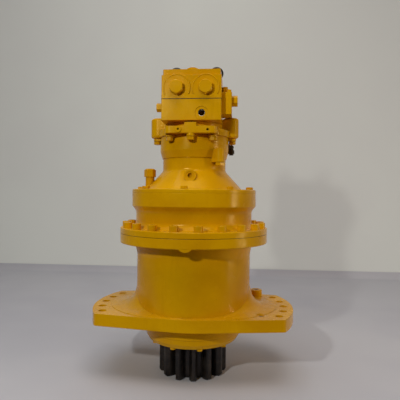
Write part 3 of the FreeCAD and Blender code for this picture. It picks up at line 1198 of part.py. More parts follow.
def eye_bolts():
    """Lifting eyes on top of the valve block, set in line with the front."""
    eyes = []
    for x, y in EYE_PLACES:
        hoop = Part.makeTorus(EYE_R, EYE_WIRE_R)
        hoop.rotate(FreeCAD.Vector(), FreeCAD.Vector(1, 0, 0), 90)
        hoop.translate(FreeCAD.Vector(0, 0, EYE_R + EYE_WIRE_R + 4.0))
        foot = turned((0, 0), (13.0, 0), (13.0, 5.0), (6.0, 9.0), (0, 9.0))
        shank = rod(EYE_SHANK_R - RUN_FIT, -28.0, 1.0)
        eye = fused([hoop, foot, shank])
        eyes.append(eye.translated(FreeCAD.Vector(x, y, BLOCK_TOP)))
    return eyes


def main():
    os.makedirs("parts", exist_ok=True)
    save("main_case", main_case())
    save("seal_cover", seal_cover())
    save("seal_cover_bolts", seal_cover_bolts())
    save("oil_seal", oil_seal())
    save("lower_bearing_cup", LOWER_BEARING.cup())
    save("upper_bearing_cup", UPPER_BEARING.cup())
    save("lower_bearing_cone", LOWER_BEARING.cone())
    save("upper_bearing_cone", UPPER_BEARING.cone())
    save("lower_bearing_rollers", LOWER_BEARING.roller_set())
    save("upper_bearing_rollers", UPPER_BEARING.roller_set())
    save("pinion_shaft", pinion_shaft())
    save("bearing_spacer", bearing_spacer())
    save("lock_nut", lock_nut())
    save("output_carrier", output_carrier())
    save("end_plate", end_plate())
    save("end_plate_bolts", end_plate_bolts())
    save("output_planet_pins", planet_pins(OUTPUT_PLANETS, output_centre_r(), OUTPUT_PIN_R,
                                           OUTPUT_CARRIER_Z + 2.0, OUTPUT_CAP_TOP))
    save("output_thrust_washers", thrust_washers(OUTPUT_PLANETS, output_centre_r(), OUTPUT_PIN_R,
                                                 (OUTPUT_WASHER_Z, OUTPUT_GEAR_TOP + SIDE_GAP)))
    for i in range(OUTPUT_PLANETS):
        save("output_planet_%d" % (i + 1),
             planet(360.0 * i / OUTPUT_PLANETS, output_centre_r(), OUTPUT_PLANET_TEETH, OUTPUT_PIN_R,
                    OUTPUT_GEAR_Z, OUTPUT_GEAR_TOP))
    save("output_sun", output_sun())
    save("input_carrier", input_carrier())
    save("input_planet_pins", planet_pins(INPUT_PLANETS, input_centre_r(), INPUT_PIN_R,
                                          INPUT_CARRIER_Z + 1.0, INPUT_CAP_TOP))
    save("input_thrust_washers", thrust_washers(INPUT_PLANETS, input_centre_r(), INPUT_PIN_R,
                                                (INPUT_WASHER_Z, INPUT_GEAR_TOP + SIDE_GAP)))
    for i in range(INPUT_PLANETS):
        save("input_planet_%d" % (i + 1),
             planet(360.0 * i / INPUT_PLANETS, input_centre_r(), INPUT_PLANET_TEETH, INPUT_PIN_R,
                    INPUT_GEAR_Z, INPUT_GEAR_TOP))
    save("input_sun", input_sun())
    save("case_gasket", gasket(RING_SPIGOT_R + 1.0, RIM_R - 1.0, CASE_TOP, rim_places(), RIM_BOLT_R + 1.0))
    save("ring_housing", ring_housing())
    save("case_bolts", cap_screws(rim_places(), RIM_BOLT_R, RIM_BOLT_HEAD_R, 2.0 * RIM_BOLT_R, RING_RIM_TOP,
                                  CASE_TOP - RIM_T + 2.0))
    save("top_cover", top_cover())
    save("cover_bolts", hex_bolts(cover_places(), COVER_BOLT_R, COVER_BOLT_AF, COVER_BOLT_HEAD, COVER_FLANGE_TOP,
                                  HOUSING_TOP - COVER_BOLT_REACH))
    save("filler_cap", filler_cap())
    save("socket_plugs", [cover_plug(), drain_plug()])
    save("motor_casing", motor_casing())
    save("motor_bolts", hex_bolts(ear_places(), EAR_BOLT_R, EAR_BOLT_AF, EAR_BOLT_HEAD, COVER_EAR_Z,
                                  COVER_TOP + EAR_BOLT_REACH))
    save("motor_seal", motor_seal())
    save("motor_shaft", motor_shaft())
    save("motor_bearing_cups", [LOWER_MOTOR_BEARING.cup(), UPPER_MOTOR_BEARING.cup()])
    save("motor_bearing_cones", [LOWER_MOTOR_BEARING.cone(), UPPER_MOTOR_BEARING.cone()])
    save("motor_bearing_rollers", LOWER_MOTOR_BEARING.roller_set() + UPPER_MOTOR_BEARING.roller_set())
    save("swash_plate", swash_plate())
    save("cylinder_block", cylinder_block())
    save("pistons", pistons())
    save("friction_discs", friction_discs())
    save("brake_plates", brake_plates())
    save("brake_piston", brake_piston())
    save("brake_spring", brake_spring())
    save("valve_plate", valve_plate())
    save("motor_cover", motor_cover())
    save("flange_bolts", hex_bolts(flange_bolt_places(), BLOCK_BOLT_R, BLOCK_BOLT_AF, BLOCK_BOLT_HEAD,
                                   MOTOR_FLANGE_Z - CASING_EAR_T, MOTOR_FLANGE_Z + BLOCK_BOLT_REACH))
    save("valve_block", valve_block())
    save("relief_valves", relief_valves())
    save("side_valve", side_valve())
    save("block_plug", block_plug())
    save("drain_fitting", drain_fitting())
    save("eye_bolts", eye_bolts())
    print("cage ratios", LOWER_BEARING.cage_ratio(), UPPER_BEARING.cage_ratio(), LOWER_MOTOR_BEARING.cage_ratio())


main()
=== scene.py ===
import math

import bmesh
import bpy
from mathutils import Matrix, Vector


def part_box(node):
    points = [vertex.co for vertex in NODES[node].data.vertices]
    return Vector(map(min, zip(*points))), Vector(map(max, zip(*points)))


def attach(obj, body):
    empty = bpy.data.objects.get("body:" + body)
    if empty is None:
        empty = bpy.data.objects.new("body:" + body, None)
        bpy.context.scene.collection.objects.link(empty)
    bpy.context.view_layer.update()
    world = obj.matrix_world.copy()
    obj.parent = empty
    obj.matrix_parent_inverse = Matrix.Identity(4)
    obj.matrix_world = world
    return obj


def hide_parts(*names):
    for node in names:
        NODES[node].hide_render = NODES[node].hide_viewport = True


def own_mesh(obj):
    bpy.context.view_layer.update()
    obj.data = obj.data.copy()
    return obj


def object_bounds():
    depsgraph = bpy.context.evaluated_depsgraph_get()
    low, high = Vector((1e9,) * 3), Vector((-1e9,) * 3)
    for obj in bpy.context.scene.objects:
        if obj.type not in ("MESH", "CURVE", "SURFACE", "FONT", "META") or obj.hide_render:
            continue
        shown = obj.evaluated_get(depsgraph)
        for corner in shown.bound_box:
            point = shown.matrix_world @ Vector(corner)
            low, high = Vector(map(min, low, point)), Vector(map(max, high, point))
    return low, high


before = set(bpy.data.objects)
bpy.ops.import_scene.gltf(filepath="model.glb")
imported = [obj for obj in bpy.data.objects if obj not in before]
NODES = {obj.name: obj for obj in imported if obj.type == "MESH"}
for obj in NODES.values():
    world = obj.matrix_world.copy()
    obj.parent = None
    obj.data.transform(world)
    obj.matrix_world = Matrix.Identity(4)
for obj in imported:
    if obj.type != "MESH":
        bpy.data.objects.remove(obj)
cad_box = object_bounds()
SCENE = bpy.context.scene
SCENE.view_settings.view_transform = "Standard"
SCENE.view_settings.look = "None"

# Camera at the photograph's viewing angle
CAMERA_AT = Vector((0.127, -1.250, 0.356))
CAMERA_TURN = math.radians(5.0)
CAMERA_TILT = math.radians(0.57)
CAMERA_ROLL = math.radians(0.5)
ahead = Vector((-math.sin(CAMERA_TURN) * math.cos(CAMERA_TILT), math.cos(CAMERA_TURN) * math.cos(CAMERA_TILT),
                -math.sin(CAMERA_TILT)))
camera_data = bpy.data.cameras.new("camera")
camera_data.sensor_width = 36.0
camera_data.lens = 37.8
camera_data.clip_start = 0.05
camera_data.clip_end = 60.0
camera = bpy.data.objects.new("camera", camera_data)
SCENE.collection.objects.link(camera)
camera.matrix_world = Matrix.Translation(CAMERA_AT) @ (ahead.to_track_quat("-Z", "Y").to_matrix().to_4x4()
                                                       @ Matrix.Rotation(CAMERA_ROLL, 4, "Z"))
SCENE.camera = camera


# Materials
class Shader:
    """A Principled material with short calls for the nodes that feed it."""

    def __init__(self, name, colour, roughness, metallic=0.0, coat=0.0, specular=0.5):
        self.material = bpy.data.materials.new(name)
        self.material.use_nodes = True
        self.tree = self.material.node_tree
        self.tree.nodes.clear()
        self.out = self.tree.nodes.new("ShaderNodeOutputMaterial")
        self.bsdf = self.tree.nodes.new("ShaderNodeBsdfPrincipled")
        self.link(self.bsdf.outputs["BSDF"], self.out.inputs["Surface"])
        self.bsdf.inputs["Base Color"].default_value = (*colour, 1.0)
        self.bsdf.inputs["Roughness"].default_value = roughness
        self.bsdf.inputs["Metallic"].default_value = metallic
        self.bsdf.inputs["Coat Weight"].default_value = coat
        self.bsdf.inputs["Coat Roughness"].default_value = 0.12
        self.bsdf.inputs["Specular IOR Level"].default_value = specular
        self.material.diffuse_color = (*colour, 1.0)
        self.place = self.node("ShaderNodeTexCoord").outputs["Object"]

    def link(self, a, b):
        self.tree.links.new(a, b)

    def node(self, kind, **values):
        n = self.tree.nodes.new(kind)
        for key, value in values.items():
            setattr(n, key, value)
        return n

    def noise(self, scale, detail=4.0, roughness=0.55, stretch=None):
        n = self.node("ShaderNodeTexNoise")
        n.inputs["Scale"].default_value = scale
        n.inputs["Detail"].default_value = detail
        n.inputs["Roughness"].default_value = roughness
        source = self.place
        if stretch:
            m = self.node("ShaderNodeMapping")
            m.inputs["Scale"].default_value = stretch
            self.link(self.place, m.inputs["Vector"])
            source = m.outputs["Vector"]
        self.link(source, n.inputs["Vector"])
        return n.outputs["Fac"]

    def cells(self, scale):
        n = self.node("ShaderNodeTexVoronoi")
        n.inputs["Scale"].default_value = scale
        self.link(self.place, n.inputs["Vector"])
        return n.outputs["Distance"]

    def ramp(self, value, low, high, to_low=0.0, to_high=1.0):
        n = self.node("ShaderNodeMapRange", interpolation_type="SMOOTHSTEP")
        self.link(value, n.inputs["Value"])
        for key, x in (("From Min", low), ("From Max", high), ("To Min", to_low), ("To Max", to_high)):
            n.inputs[key].default_value = x
        return n.outputs["Result"]

    def maths(self, operation, a, b):
        n = self.node("ShaderNodeMath", operation=operation)
        n.use_clamp = operation != "ADD"
        for i, x in enumerate((a, b)):
            if isinstance(x, (int, float)):
                n.inputs[i].default_value = x
            else:
                self.link(x, n.inputs[i])
        return n.outputs[0]

    def blend(self, factor, a, b):
        """Colour a where factor is 0 and b where it is 1."""
        n = self.node("ShaderNodeMix", data_type="RGBA")
        self.link(factor, n.inputs[0])
        for i, x in ((6, a), (7, b)):
            if isinstance(x, tuple):
                n.inputs[i].default_value = (*x, 1.0)
            else:
                self.link(x, n.inputs[i])
        return n.outputs[2]

    def edges(self, radius):
        """1 on sharp edges and corners, 0 on flat ground."""
        bevel = self.node("ShaderNodeBevel", samples=4)
        bevel.inputs["Radius"].default_value = radius
        normal = self.node("ShaderNodeNewGeometry").outputs["Normal"]
        dot = self.node("ShaderNodeVectorMath", operation="DOT_PRODUCT")
        self.link(bevel.outputs["Normal"], dot.inputs[0])
        self.link(normal, dot.inputs[1])
        return self.ramp(dot.outputs["Value"], 0.97, 0.80)

    def upward(self, low, high):
        split = self.node("ShaderNodeSeparateXYZ")
        self.link(self.node("ShaderNodeNewGeometry").outputs["Normal"], split.inputs[0])
        return self.ramp(split.outputs["Z"], low, high)

    def hollow(self, distance):
        """1 in narrow corners, 0 in the open."""
        n = self.node("ShaderNodeAmbientOcclusion", samples=6)
        n.inputs["Distance"].default_value = distance
        return self.ramp(n.outputs["AO"], 0.75, 0.30)

    def finish(self, colour=None, roughness=None, heights=(), edge_radius=0.0):
        if colour is not None:
            self.link(colour, self.bsdf.inputs["Base Color"])
        if roughness is not None:
            self.link(roughness, self.bsdf.inputs["Roughness"])
        normal = None
        if edge_radius:
            bevel = self.node("ShaderNodeBevel", samples=4)
            bevel.inputs["Radius"].default_value = edge_radius
            normal = bevel.outputs["Normal"]
        for height, strength, distance in heights:
            bump = self.node("ShaderNodeBump")
            bump.inputs["Strength"].default_value = strength
            bump.inputs["Distance"].default_value = distance
            self.link(height, bump.inputs["Height"])
            if normal is not None:
                self.link(normal, bump.inputs["Normal"])
            normal = bump.outputs["Normal"]
        if normal is not None:
            self.link(normal, self.bsdf.inputs["Normal"])
        return self.material


YELLOW = (0.80, 0.415, 0.001)
YELLOW_DEEP = (0.68, 0.325, 0.001)
YELLOW_WORN = (0.86, 0.50, 0.03)
# Dark brown of the painted shade laid into corners
CORNER_SHADE_BROWN = (0.10, 0.05, 0.012)


def yellow_paint(name, cast, edge_radius):
    """Thick gloss paint. Cast surfaces show sand texture under it."""
    s = Shader(name, YELLOW, 0.30, specular=0.22)
    s.bsdf.inputs["Specular Tint"].default_value = (1.0, 0.78, 0.30, 1.0)
    tone = s.ramp(s.noise(7.0, 5.0), 0.35, 0.70)
    colour = s.blend(tone, YELLOW, YELLOW_DEEP)
    runs = s.ramp(s.noise(9.0, 3.0, stretch=(6.0, 6.0, 0.7)), 0.52, 0.72, 0.0, 0.35)
    colour = s.blend(runs, colour, YELLOW_DEEP)
    wear = s.maths("MULTIPLY", s.edges(0.0022), s.ramp(s.noise(55.0, 6.0, 0.7), 0.50, 0.62, 0.0, 0.8))
    colour = s.blend(wear, colour, YELLOW_WORN)
    chips = s.maths("MULTIPLY", s.edges(0.0012), s.ramp(s.noise(130.0, 4.0, 0.8), 0.66, 0.70, 0.0, 0.9))
    colour = s.blend(chips, colour, (0.09, 0.06, 0.04))
    # Painted shade: dark brown laid into narrow corners and recesses by an ambient-occlusion mask, made patchy by
    # noise
    corner_shade = s.maths("MULTIPLY", s.hollow(0.012), s.ramp(s.noise(40.0, 5.0), 0.30, 0.60, 0.10, 0.50))
    colour = s.blend(corner_shade, colour, CORNER_SHADE_BROWN)
    dust = s.maths("MULTIPLY", s.upward(0.75, 0.98), s.ramp(s.noise(26.0, 6.0, 0.65), 0.40, 0.70, 0.03, 0.22))
    colour = s.blend(dust, colour, (0.84, 0.50, 0.04))
    specks = s.ramp(s.noise(330.0, 2.0, 0.5), 0.735, 0.76, 0.0, 0.7)
    colour = s.blend(specks, colour, (0.25, 0.13, 0.01))
    rough = s.ramp(s.noise(30.0, 5.0), 0.30, 0.75, 0.13, 0.30)
    rough = s.maths("ADD", rough, s.maths("MULTIPLY", dust, 0.7))
    heights = [(s.noise(420.0, 2.0), 0.10, 0.0006), (s.noise(60.0, 3.0), 0.12, 0.0012)]
    if cast:
        heights += [(s.noise(190.0, 6.0, 0.7), 0.32, 0.0010), (s.cells(95.0), 0.08, 0.0008),
                    (s.noise(16.0, 3.0), 0.10, 0.0040)]
    return s.finish(colour, rough, heights, edge_radius)


def black_steel(name):
    """Quenched pinion steel under a film of oil."""
    s = Shader(name, (0.018, 0.014, 0.012), 0.38, metallic=0.55, coat=0.25)
    tone = s.ramp(s.noise(24.0, 6.0, 0.65), 0.38, 0.66)
    colour = s.blend(tone, (0.010, 0.008, 0.008), (0.040, 0.030, 0.024))
    scale = s.ramp(s.noise(120.0, 5.0, 0.7), 0.58, 0.70, 0.0, 0.7)
    colour = s.blend(scale, colour, (0.060, 0.036, 0.020))
    rubbed = s.maths("MULTIPLY", s.edges(0.0016), s.ramp(s.noise(70.0, 5.0, 0.7), 0.42, 0.62, 0.1, 0.9))
    colour = s.blend(rubbed, colour, (0.17, 0.15, 0.14))
    rough = s.ramp(s.noise(45.0, 5.0), 0.30, 0.70, 0.28, 0.58)
    grind = s.noise(160.0, 3.0, stretch=(1.0, 1.0, 0.06))
    return s.finish(colour, rough, [(grind, 0.18, 0.0004), (s.noise(300.0, 4.0), 0.12, 0.0004)], 0.0012)


def steel(name, colour, rough_low, rough_high, stretch, tint=(0.20, 0.17, 0.14), stain=0.35):
    """Machined steel with tool marks along stretch and a light stain."""
    s = Shader(name, colour, (rough_low + rough_high) / 2.0, metallic=1.0)
    marks = s.noise(240.0, 3.0, 0.6, stretch)
    dark = tuple(c * 0.72 for c in colour)
    out = s.blend(s.ramp(marks, 0.35, 0.68), colour, dark)
    stained = s.maths("MULTIPLY", s.ramp(s.noise(38.0, 6.0, 0.7), 0.52, 0.72, 0.0, stain), 1.0)
    out = s.blend(stained, out, tint)
    bright = s.maths("MULTIPLY", s.edges(0.0012), s.ramp(s.noise(80.0, 4.0), 0.40, 0.60, 0.2, 0.8))
    out = s.blend(bright, out, tuple(min(1.0, c * 1.35) for c in colour))
    rough = s.ramp(s.noise(60.0, 5.0), 0.30, 0.70, rough_low, rough_high)
    return s.finish(out, rough, [(marks, 0.10, 0.0003)], 0.0005)


def rubber(name, colour):
    s = Shader(name, colour, 0.6, specular=0.35)
    bloom = s.ramp(s.noise(70.0, 5.0, 0.7), 0.45, 0.70, 0.0, 0.35)
    out = s.blend(bloom, colour, tuple(c * 2.4 + 0.01 for c in colour))
    rough = s.ramp(s.noise(90.0, 4.0), 0.3, 0.7, 0.48, 0.72)
    return s.finish(out, rough, [(s.noise(500.0, 3.0), 0.15, 0.0003)])


def bare_iron(name):
    """Inside casting, unpainted and oily."""
    s = Shader(name, (0.17, 0.165, 0.16), 0.5, metallic=0.75, coat=0.2)
    out = s.blend(s.ramp(s.noise(60.0, 6.0, 0.7), 0.35, 0.68), (0.13, 0.125, 0.12), (0.24, 0.23, 0.22))
    out = s.blend(s.ramp(s.noise(18.0, 5.0), 0.55, 0.75, 0.0, 0.5), out, (0.11, 0.075, 0.05))
    return s.finish(out, s.ramp(s.noise(35.0, 4.0), 0.3, 0.7, 0.34, 0.60),
                    [(s.noise(260.0, 6.0, 0.7), 0.30, 0.0008)], 0.0010)


MATERIALS = {
    "cast_yellow": yellow_paint("cast_yellow", True, 0.0020),
    "smooth_yellow": yellow_paint("smooth_yellow", False, 0.0007),
    "pinion_black": black_steel("pinion_black"),
    "turned_steel": steel("turned_steel", (0.50, 0.49, 0.48), 0.22, 0.40, (0.3, 0.3, 6.0)),
    "gear_steel": steel("gear_steel", (0.42, 0.41, 0.40), 0.26, 0.44, (1.0, 1.0, 0.08)),
    "polished_steel": steel("polished_steel", (0.62, 0.62, 0.62), 0.10, 0.22, (0.3, 0.3, 4.0), stain=0.12),
    "bronze": steel("bronze", (0.62, 0.40, 0.17), 0.24, 0.42, (0.4, 0.4, 3.0), tint=(0.26, 0.13, 0.05)),
    "spring_steel": steel("spring_steel", (0.20, 0.21, 0.25), 0.28, 0.45, (0.3, 0.3, 5.0)),
    "iron": bare_iron("iron"),
    "seal_rubber": rubber("seal_rubber", (0.014, 0.013, 0.013)),
    "gasket": rubber("gasket", (0.030, 0.020, 0.010)),
    "dark_paint": rubber("dark_paint", (0.045, 0.030, 0.012)),
    "dark_steel": steel("dark_steel", (0.060, 0.055, 0.050), 0.30, 0.50, (0.3, 0.3, 3.0), stain=0.6),
}
LOOKS = {
    "cast_yellow": "main_case ring_housing top_cover motor_casing motor_cover valve_block side_valve",
    "smooth_yellow": "seal_cover seal_cover_bolts case_bolts cover_bolts filler_cap socket_plugs motor_bolts"
                     " flange_bolts relief_valves block_plug",
    "pinion_black": "pinion_shaft",
    "turned_steel": "bearing_spacer lock_nut end_plate end_plate_bolts output_planet_pins input_planet_pins"
                    " motor_shaft cylinder_block brake_plates brake_piston swash_plate",
    "gear_steel": "output_sun input_sun output_planet_1 output_planet_2 output_planet_3 output_planet_4"
                  " input_planet_1 input_planet_2 input_planet_3",
    "polished_steel": "lower_bearing_cup upper_bearing_cup lower_bearing_cone upper_bearing_cone"
                      " lower_bearing_rollers upper_bearing_rollers motor_bearing_cups motor_bearing_cones"
                      " motor_bearing_rollers pistons",
    "bronze": "output_thrust_washers input_thrust_washers friction_discs valve_plate",
    "spring_steel": "brake_spring",
    "iron": "output_carrier input_carrier",
    "seal_rubber": "oil_seal motor_seal",
    "gasket": "case_gasket",
    "dark_paint": "drain_fitting",
    "dark_steel": "eye_bolts",
}
for look, names in LOOKS.items():
    for name in names.split():
        mesh = NODES[name].data
        mesh.materials.clear()
        mesh.materials.append(MATERIALS[look])


# Pieces that the CAD holds in plain form, drawn out here with their small shapes
MM = 0.001


def piece(name, mesh_data, look, body, *nodes):
    """Object from (points in mm, faces), riding body or standing for CAD nodes."""
    points, faces = mesh_data
    mesh = bpy.data.meshes.new(name)
    mesh.from_pydata([tuple(c * MM for c in p) for p in points], [], faces)
    bm = bmesh.new()
    bm.from_mesh(mesh)
    bmesh.ops.recalc_face_normals(bm, faces=bm.faces)
    bm.to_mesh(mesh)
    bm.free()
    mesh.materials.append(MATERIALS[look])
    o = bpy.data.objects.new(name, mesh)
    SCENE.collection.objects.link(o)
    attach(o, body)
    if nodes:
        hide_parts(*nodes)
    return o


def lofted(rings):
    """Skin over rings with equal numbers of points, closed at both ends."""
    count = len(rings[0])
    points = [p for ring in rings for p in ring]
    faces = [tuple(range(count))[::-1], tuple(range((len(rings) - 1) * count, len(rings) * count))]
    for i in range(len(rings) - 1):
        for j in range(count):
            k = (j + 1) % count
            faces.append((i * count + j, i * count + k, (i + 1) * count + k, (i + 1) * count + j))
    return points, faces


def joined(parts):
    """One mesh of several."""
    points = []
    faces = []
    for more_points, more_faces in parts:
        start = len(points)
        points += more_points
        faces += [tuple(start + i for i in face) for face in more_faces]
    return points, faces


def hex_bolt(x, y, seat, way, flats, head, shank_r, reach, turn):
    """Bolt with washer face, chamfered hexagon, grooved shank and pointed end.

    The head stands above its seat where way is 1 and hangs below it where way is -1.
    """
    count = 48
    angles = [2.0 * math.pi * i / count for i in range(count)]
    top_r = 0.93 * flats / 2.0
    slope = math.tan(math.radians(30.0))

    def hexagon(a):
        return flats / 2.0 / math.cos((a + math.pi / 6.0) % (math.pi / 3.0) - math.pi / 6.0)

    def ring(radius, height):
        out = []
        for a in angles:
            r = radius(a) if callable(radius) else radius
            h = height(a) if callable(height) else height
            out.append((x + r * math.cos(a + turn), y + r * math.sin(a + turn), seat + way * h))
        return out

    rings = [ring(top_r, head),
             ring(hexagon, lambda a: head - (hexagon(a) - top_r) * slope),
             ring(hexagon, lambda a: 0.6 + (hexagon(a) - flats / 2.0) * 0.35),
             ring(flats / 2.0 * 0.97, 0.6),
             ring(flats / 2.0 * 0.95, 0.02),
             ring(shank_r, 0.02)]
    pitch = shank_r / 3.0
    turns = int((reach - 4.0) / pitch)
    for i in range(turns):
        rings += [ring(shank_r, -2.0 - i * pitch), ring(shank_r - 0.18 * pitch, -2.0 - (i + 0.5) * pitch)]
    rings += [ring(shank_r, -reach + 1.2), ring(shank_r - 1.2, -reach)]
    return lofted(rings)


def hole_thread(start, along, radius, depth, pitch):
    """Thread ridge winding down a round hole from start, a point in mm, along a unit vector."""
    along = Vector(along)
    side = Vector((0, 0, 1)) if abs(along.z) < 0.5 else Vector((1, 0, 0))
    other = along.cross(side)
    steps = 20
    points = []
    faces = []
    total = int(depth / pitch * steps)
    for i in range(total + 1):
        a = 2.0 * math.pi * i / steps
        out = side * math.cos(a) + other * math.sin(a)
        base = Vector(start) + along * (1.5 + pitch * i / steps)
        for r, h in ((radius + 0.15, -0.42 * pitch), (radius - 0.55 * pitch, -0.06 * pitch),
                     (radius - 0.55 * pitch, 0.06 * pitch), (radius + 0.15, 0.42 * pitch)):
            points.append(tuple(base + out * r + along * h))
        if i:
            for j in range(4):
                k = (j + 1) % 4
                faces.append((4 * i - 4 + j, 4 * i - 4 + k, 4 * i + k, 4 * i + j))
    faces += [(0, 1, 2, 3), (4 * total + 3, 4 * total + 2, 4 * total + 1, 4 * total)]
    return points, faces


def tube(path, radius, closed=False):
    """Round bead along a path in the XZ plane."""
    count = 10
    rings = []
    for i, p in enumerate(path):
        before = path[i - 1] if i or closed else path[i]
        after = path[(i + 1) % len(path)] if closed or i + 1 < len(path) else path[i]
        way = (Vector(after) - Vector(before)).normalized()
        side = way.cross(Vector((0, 1, 0)))
        rings.append([tuple(Vector(p) + side * (radius * math.cos(a)) + Vector((0, radius * math.sin(a), 0)))
                      for a in (2.0 * math.pi * j / count for j in range(count))])
    if closed:
        rings.append(rings[0])
    return lofted(rings)


def arc_path(x, y, z, radius, start, end, steps=40):
    """Arc about an axis along Y, angles in degrees from +X towards +Z."""
    return [(x + radius * math.cos(a), y, z + radius * math.sin(a))
            for a in (math.radians(start + (end - start) * i / steps) for i in range(steps + 1))]


def revolved(profile, steps=96):
    """Closed profile of (radius, z) turned about the Z axis."""
    count = len(profile)
    points = []
    faces = []
    for i in range(steps):
        a = 2.0 * math.pi * i / steps
        points += [(r * math.cos(a), r * math.sin(a), z) for r, z in profile]
        for j in range(count):
            k = (j + 1) % count
            n = (i + 1) % steps
            faces.append((i * count + j, i * count + k, n * count + k, n * count + j))
    return points, faces


def band(half_x, y0, y1, corner, z0, z1, width):
    """Thin frame with rounded corners, standing on end."""
    middle_y = (y0 + y1) / 2.0
    loops = []
    for inset, z in ((0.0, z0), (0.0, z1), (width, z1), (width, z0)):
        loop = []
        for i in range(4):
            for j in range(7):
                a = math.radians(90.0 * i + 15.0 * j)
                x = math.copysign(half_x - corner, math.cos(math.radians(90.0 * i + 45.0)))
                y = math.copysign((y1 - y0) / 2.0 - corner, math.sin(math.radians(90.0 * i + 45.0)))
                bend = corner - inset
                loop.append((x + bend * math.cos(a), middle_y + y + bend * math.sin(a), z))
        loops.append(loop)
    count = len(loops[0])
    points = [q for loop in loops for q in loop]
    faces = []
    for i in range(4):
        for j in range(count):
            k = (j + 1) % count
            n = (i + 1) % 4
            faces.append((i * count + j, i * count + k, n * count + k, n * count + j))
    return points, faces


def ring_places(count, radius, phase):
    """Evenly spaced places on a circle, the first at phase degrees."""
    return [(radius * math.cos(math.radians(phase + 360.0 * i / count)),
             radius * math.sin(math.radians(phase + 360.0 * i / count))) for i in range(count)]


def at_angles(radius, angles):
    """Places on a circle at angles in degrees."""
    return [(radius * math.cos(math.radians(a)), radius * math.sin(math.radians(a))) for a in angles]


# Piece, CAD node it stands for, places, seat height, side of the head, width across flats, head height,
# shank radius, reach, turn of the first head and step of turn to the next
COVER_PLACES = ring_places(8, 164.0, -48.4)
FLANGE_PLACES = at_angles(112.0, [s + d for s in (-90.0, 90.0) for d in (-32.4, 0.0, 32.4)] + [0.0, 180.0])
EAR_PLACES = at_angles(111.0, (-45.0, 135.0))
BOLT_GROUPS = (
    ("cover_hex_bolts", "cover_bolts", COVER_PLACES, 374.0, 1, 18.0, 8.0, 5.8, 33.0, 0.0, 0.3),
    ("flange_hex_bolts", "flange_bolts", FLANGE_PLACES, 518.0, -1, 18.0, 10.0, 5.8, 24.0, 0.4, 0.5),
    ("ear_hex_bolts", "motor_bolts", EAR_PLACES, 450.0, -1, 24.0, 10.0, 7.8, 33.0, 0.2, 0.6),
)
for name, node, places, *sizes, turn, step in BOLT_GROUPS:
    bolts = [hex_bolt(x, y, *sizes, turn + step * i) for i, (x, y) in enumerate(places)]
    piece(name, joined(bolts), "smooth_yellow", "housing", node)

# Lips of the relief valve bosses and of the oil port's face, in the block's front plane
FRONT_Y = -107.0
RELIEF_X = 40.0
RELIEF_Z = 652.0
BOSS_LIP_R = 36.0
BOSS_BEAD_R = 2.0
OIL_PORT_X = 29.0
OIL_PORT_Z = 583.5
OIL_PORT_LIP_R = 18.5
OIL_PORT_BEAD_R = 1.3
boss_lips = [tube(arc_path(x, FRONT_Y + 1.2, RELIEF_Z, BOSS_LIP_R, -28.0, 208.0), BOSS_BEAD_R)
             for x in (-RELIEF_X, RELIEF_X)]
port_lip = tube(arc_path(OIL_PORT_X, FRONT_Y + 0.6, OIL_PORT_Z, OIL_PORT_LIP_R, 0.0, 354.0), OIL_PORT_BEAD_R, True)
piece("boss_lips", joined(boss_lips + [port_lip]), "cast_yellow", "housing")

# Sealing compound in the joint of the two valve castings, a quarter millimetre proud of them; its dark band is
# also painted shade for the shadow line at the joint
BLOCK_HALF_X = 83.25
BLOCK_FRONT_Y = -107.25
BLOCK_BACK_Y = 95.25
BLOCK_CORNER_R = 4.25
JOINT_LOW_Z = 620.9
JOINT_HIGH_Z = 622.7
JOINT_WIDTH = 1.5
piece("block_joint_shade_band", band(BLOCK_HALF_X, BLOCK_FRONT_Y, BLOCK_BACK_Y, BLOCK_CORNER_R, JOINT_LOW_Z, JOINT_HIGH_Z,
                          JOINT_WIDTH), "gasket", "housing")

# Dished brake spring, which the piston flattens by 2 mm of its 9
spring_low, spring_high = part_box("brake_spring")
z0 = spring_low.z / MM
z1 = spring_high.z / MM
outer_r = spring_high.x / MM
dish_r = outer_r - 10.0
inner_r = outer_r - 13.0
spring = piece("brake_dished_spring",
               revolved([(outer_r - 3.0, z0), (outer_r - 0.6, z0), (outer_r, z0 + 0.6), (outer_r, z0 + 3.6),
                         (outer_r - 0.6, z0 + 4.4), (dish_r + 0.6, z1 - 0.4), (dish_r, z1), (inner_r + 0.5, z1),
                         (inner_r, z1 - 0.5), (inner_r, z1 - 4.0), (inner_r + 0.4, z1 - 4.4)]),
               "spring_steel", "housing", "brake_spring")
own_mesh(spring)

# Piece, starts of its holes, way into them, hole radius, depth and pitch
PORT_HOLES = [(side * 36.0 + dx, 95.0, 658.0 + dz)
              for side in (-1, 1) for dx in (-11.1, 11.1) for dz in (-23.8, 23.8)]
THREADS = (
    ("oil_port_thread", [(OIL_PORT_X, FRONT_Y, OIL_PORT_Z)], (0, 1, 0), 9.5, 26.0, 1.8),
    ("drain_thread", [(191.0, 120.0, 55.0)], (0, 0, -1), 9.0, 26.0, 1.8),
    ("jack_threads", [(196.0, -108.0, 0.0), (-196.0, 108.0, 0.0)], (0, 0, 1), 7.0, 29.0, 2.0),
    ("port_threads", PORT_HOLES, (0, -1, 0), 4.25, 16.0, 1.25),
)
for name, starts, along, radius, depth, pitch in THREADS:
    ridges = [hole_thread(start, along, radius, depth, pitch) for start in starts]
    piece(name, joined(ridges), "turned_steel", "housing")


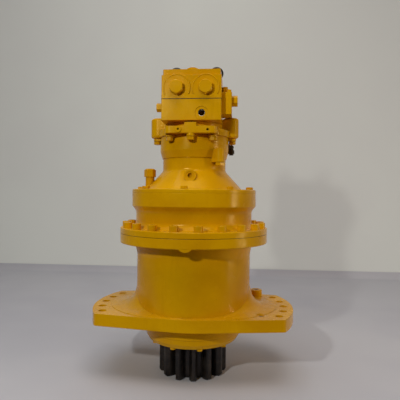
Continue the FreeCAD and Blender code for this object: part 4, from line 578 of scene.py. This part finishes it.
# Stage and light
def stage_material(name, colour, other, scale, bump, glow):
    """Matt cloth or wall, painted near black in front of the object as painted shade for the unlit room there."""
    s = Shader(name, colour, 0.85, specular=0.2)
    out = s.blend(s.ramp(s.noise(scale, 3.0), 0.35, 0.65), colour, other)
    split = s.node("ShaderNodeSeparateXYZ")
    s.link(s.place, split.inputs[0])
    # Painted shade: near black towards the front, standing for the unlit room in front of the object
    out = s.blend(s.ramp(split.outputs["Y"], -0.36, -0.58), out, (0.05, 0.05, 0.055))
    s.bsdf.inputs["Emission Color"].default_value = (*colour, 1.0)
    s.bsdf.inputs["Emission Strength"].default_value = glow
    return s.finish(out, None, [(s.noise(scale * 3.0, 2.0), bump, 0.01)])


def sweep(name, line, material):
    """Backdrop sheet: a line of (y, z) points drawn out along X."""
    mesh = bpy.data.meshes.new(name)
    points = [(x, y, z) for y, z in line for x in (-8.0, 8.0)]
    mesh.from_pydata(points, [], [(2 * i, 2 * i + 1, 2 * i + 3, 2 * i + 2) for i in range(len(line) - 1)])
    for face in mesh.polygons:
        face.use_smooth = True
    o = bpy.data.objects.new(name, mesh)
    SCENE.collection.objects.link(o)
    mesh.materials.append(material)
    return o


FLOOR_Z = cad_box[0].z - 0.0005
WALL_Y = 1.50
CLOTH_TOP = -0.117
BEND_R = CLOTH_TOP - FLOOR_Z
bend = [(WALL_Y - BEND_R + BEND_R * math.sin(a), FLOOR_Z + BEND_R - BEND_R * math.cos(a))
        for a in (math.radians(5.0 * i) for i in range(19))]
sweep("floor", [(-4.0, FLOOR_Z)] + bend,
      stage_material("floor", (0.66, 0.66, 0.72), (0.59, 0.59, 0.66), 1.2, 0.05, 0.0))
sweep("wall", [(WALL_Y + 0.002, CLOTH_TOP - 0.02), (WALL_Y + 0.002, 7.0)],
      stage_material("wall", (0.74, 0.755, 0.72), (0.70, 0.70, 0.68), 0.8, 0.02, 0.13))

world = bpy.data.worlds.new("world")
SCENE.world = world
world.use_nodes = True
world.node_tree.nodes["Background"].inputs["Color"].default_value = (0.95, 0.97, 1.0, 1.0)
world.node_tree.nodes["Background"].inputs["Strength"].default_value = 0.02


def area_light(name, place, aim, size_x, size_y, watts, colour):
    data = bpy.data.lights.new(name, "AREA")
    data.shape = "RECTANGLE"
    data.size = size_x
    data.size_y = size_y
    data.energy = watts
    data.color = colour
    o = bpy.data.objects.new(name, data)
    SCENE.collection.objects.link(o)
    o.location = place
    o.rotation_mode = "QUATERNION"
    o.rotation_quaternion = (Vector(aim) - Vector(place)).to_track_quat("-Z", "Y")
    return o


area_light("key", (-0.62, -1.59, 1.00), (0, 0, 0.3), 0.08, 0.08, 11.0, (1.0, 1.0, 0.90))
area_light("top", (-0.5, -0.5, 2.8), (0, 0, 0.3), 2.0, 2.0, 23, (1.0, 0.99, 0.97))
area_light("right_top", (0.55, -1.1, 2.6), (0, 0, 0.2), 0.9, 0.9, 12, (1.0, 0.88, 0.76))
area_light("strip", (2.26, -0.41, 0.42), (0, 0, 0.3), 0.05, 1.0, 11, (1.0, 0.86, 0.72))

bpy.context.view_layer.update()
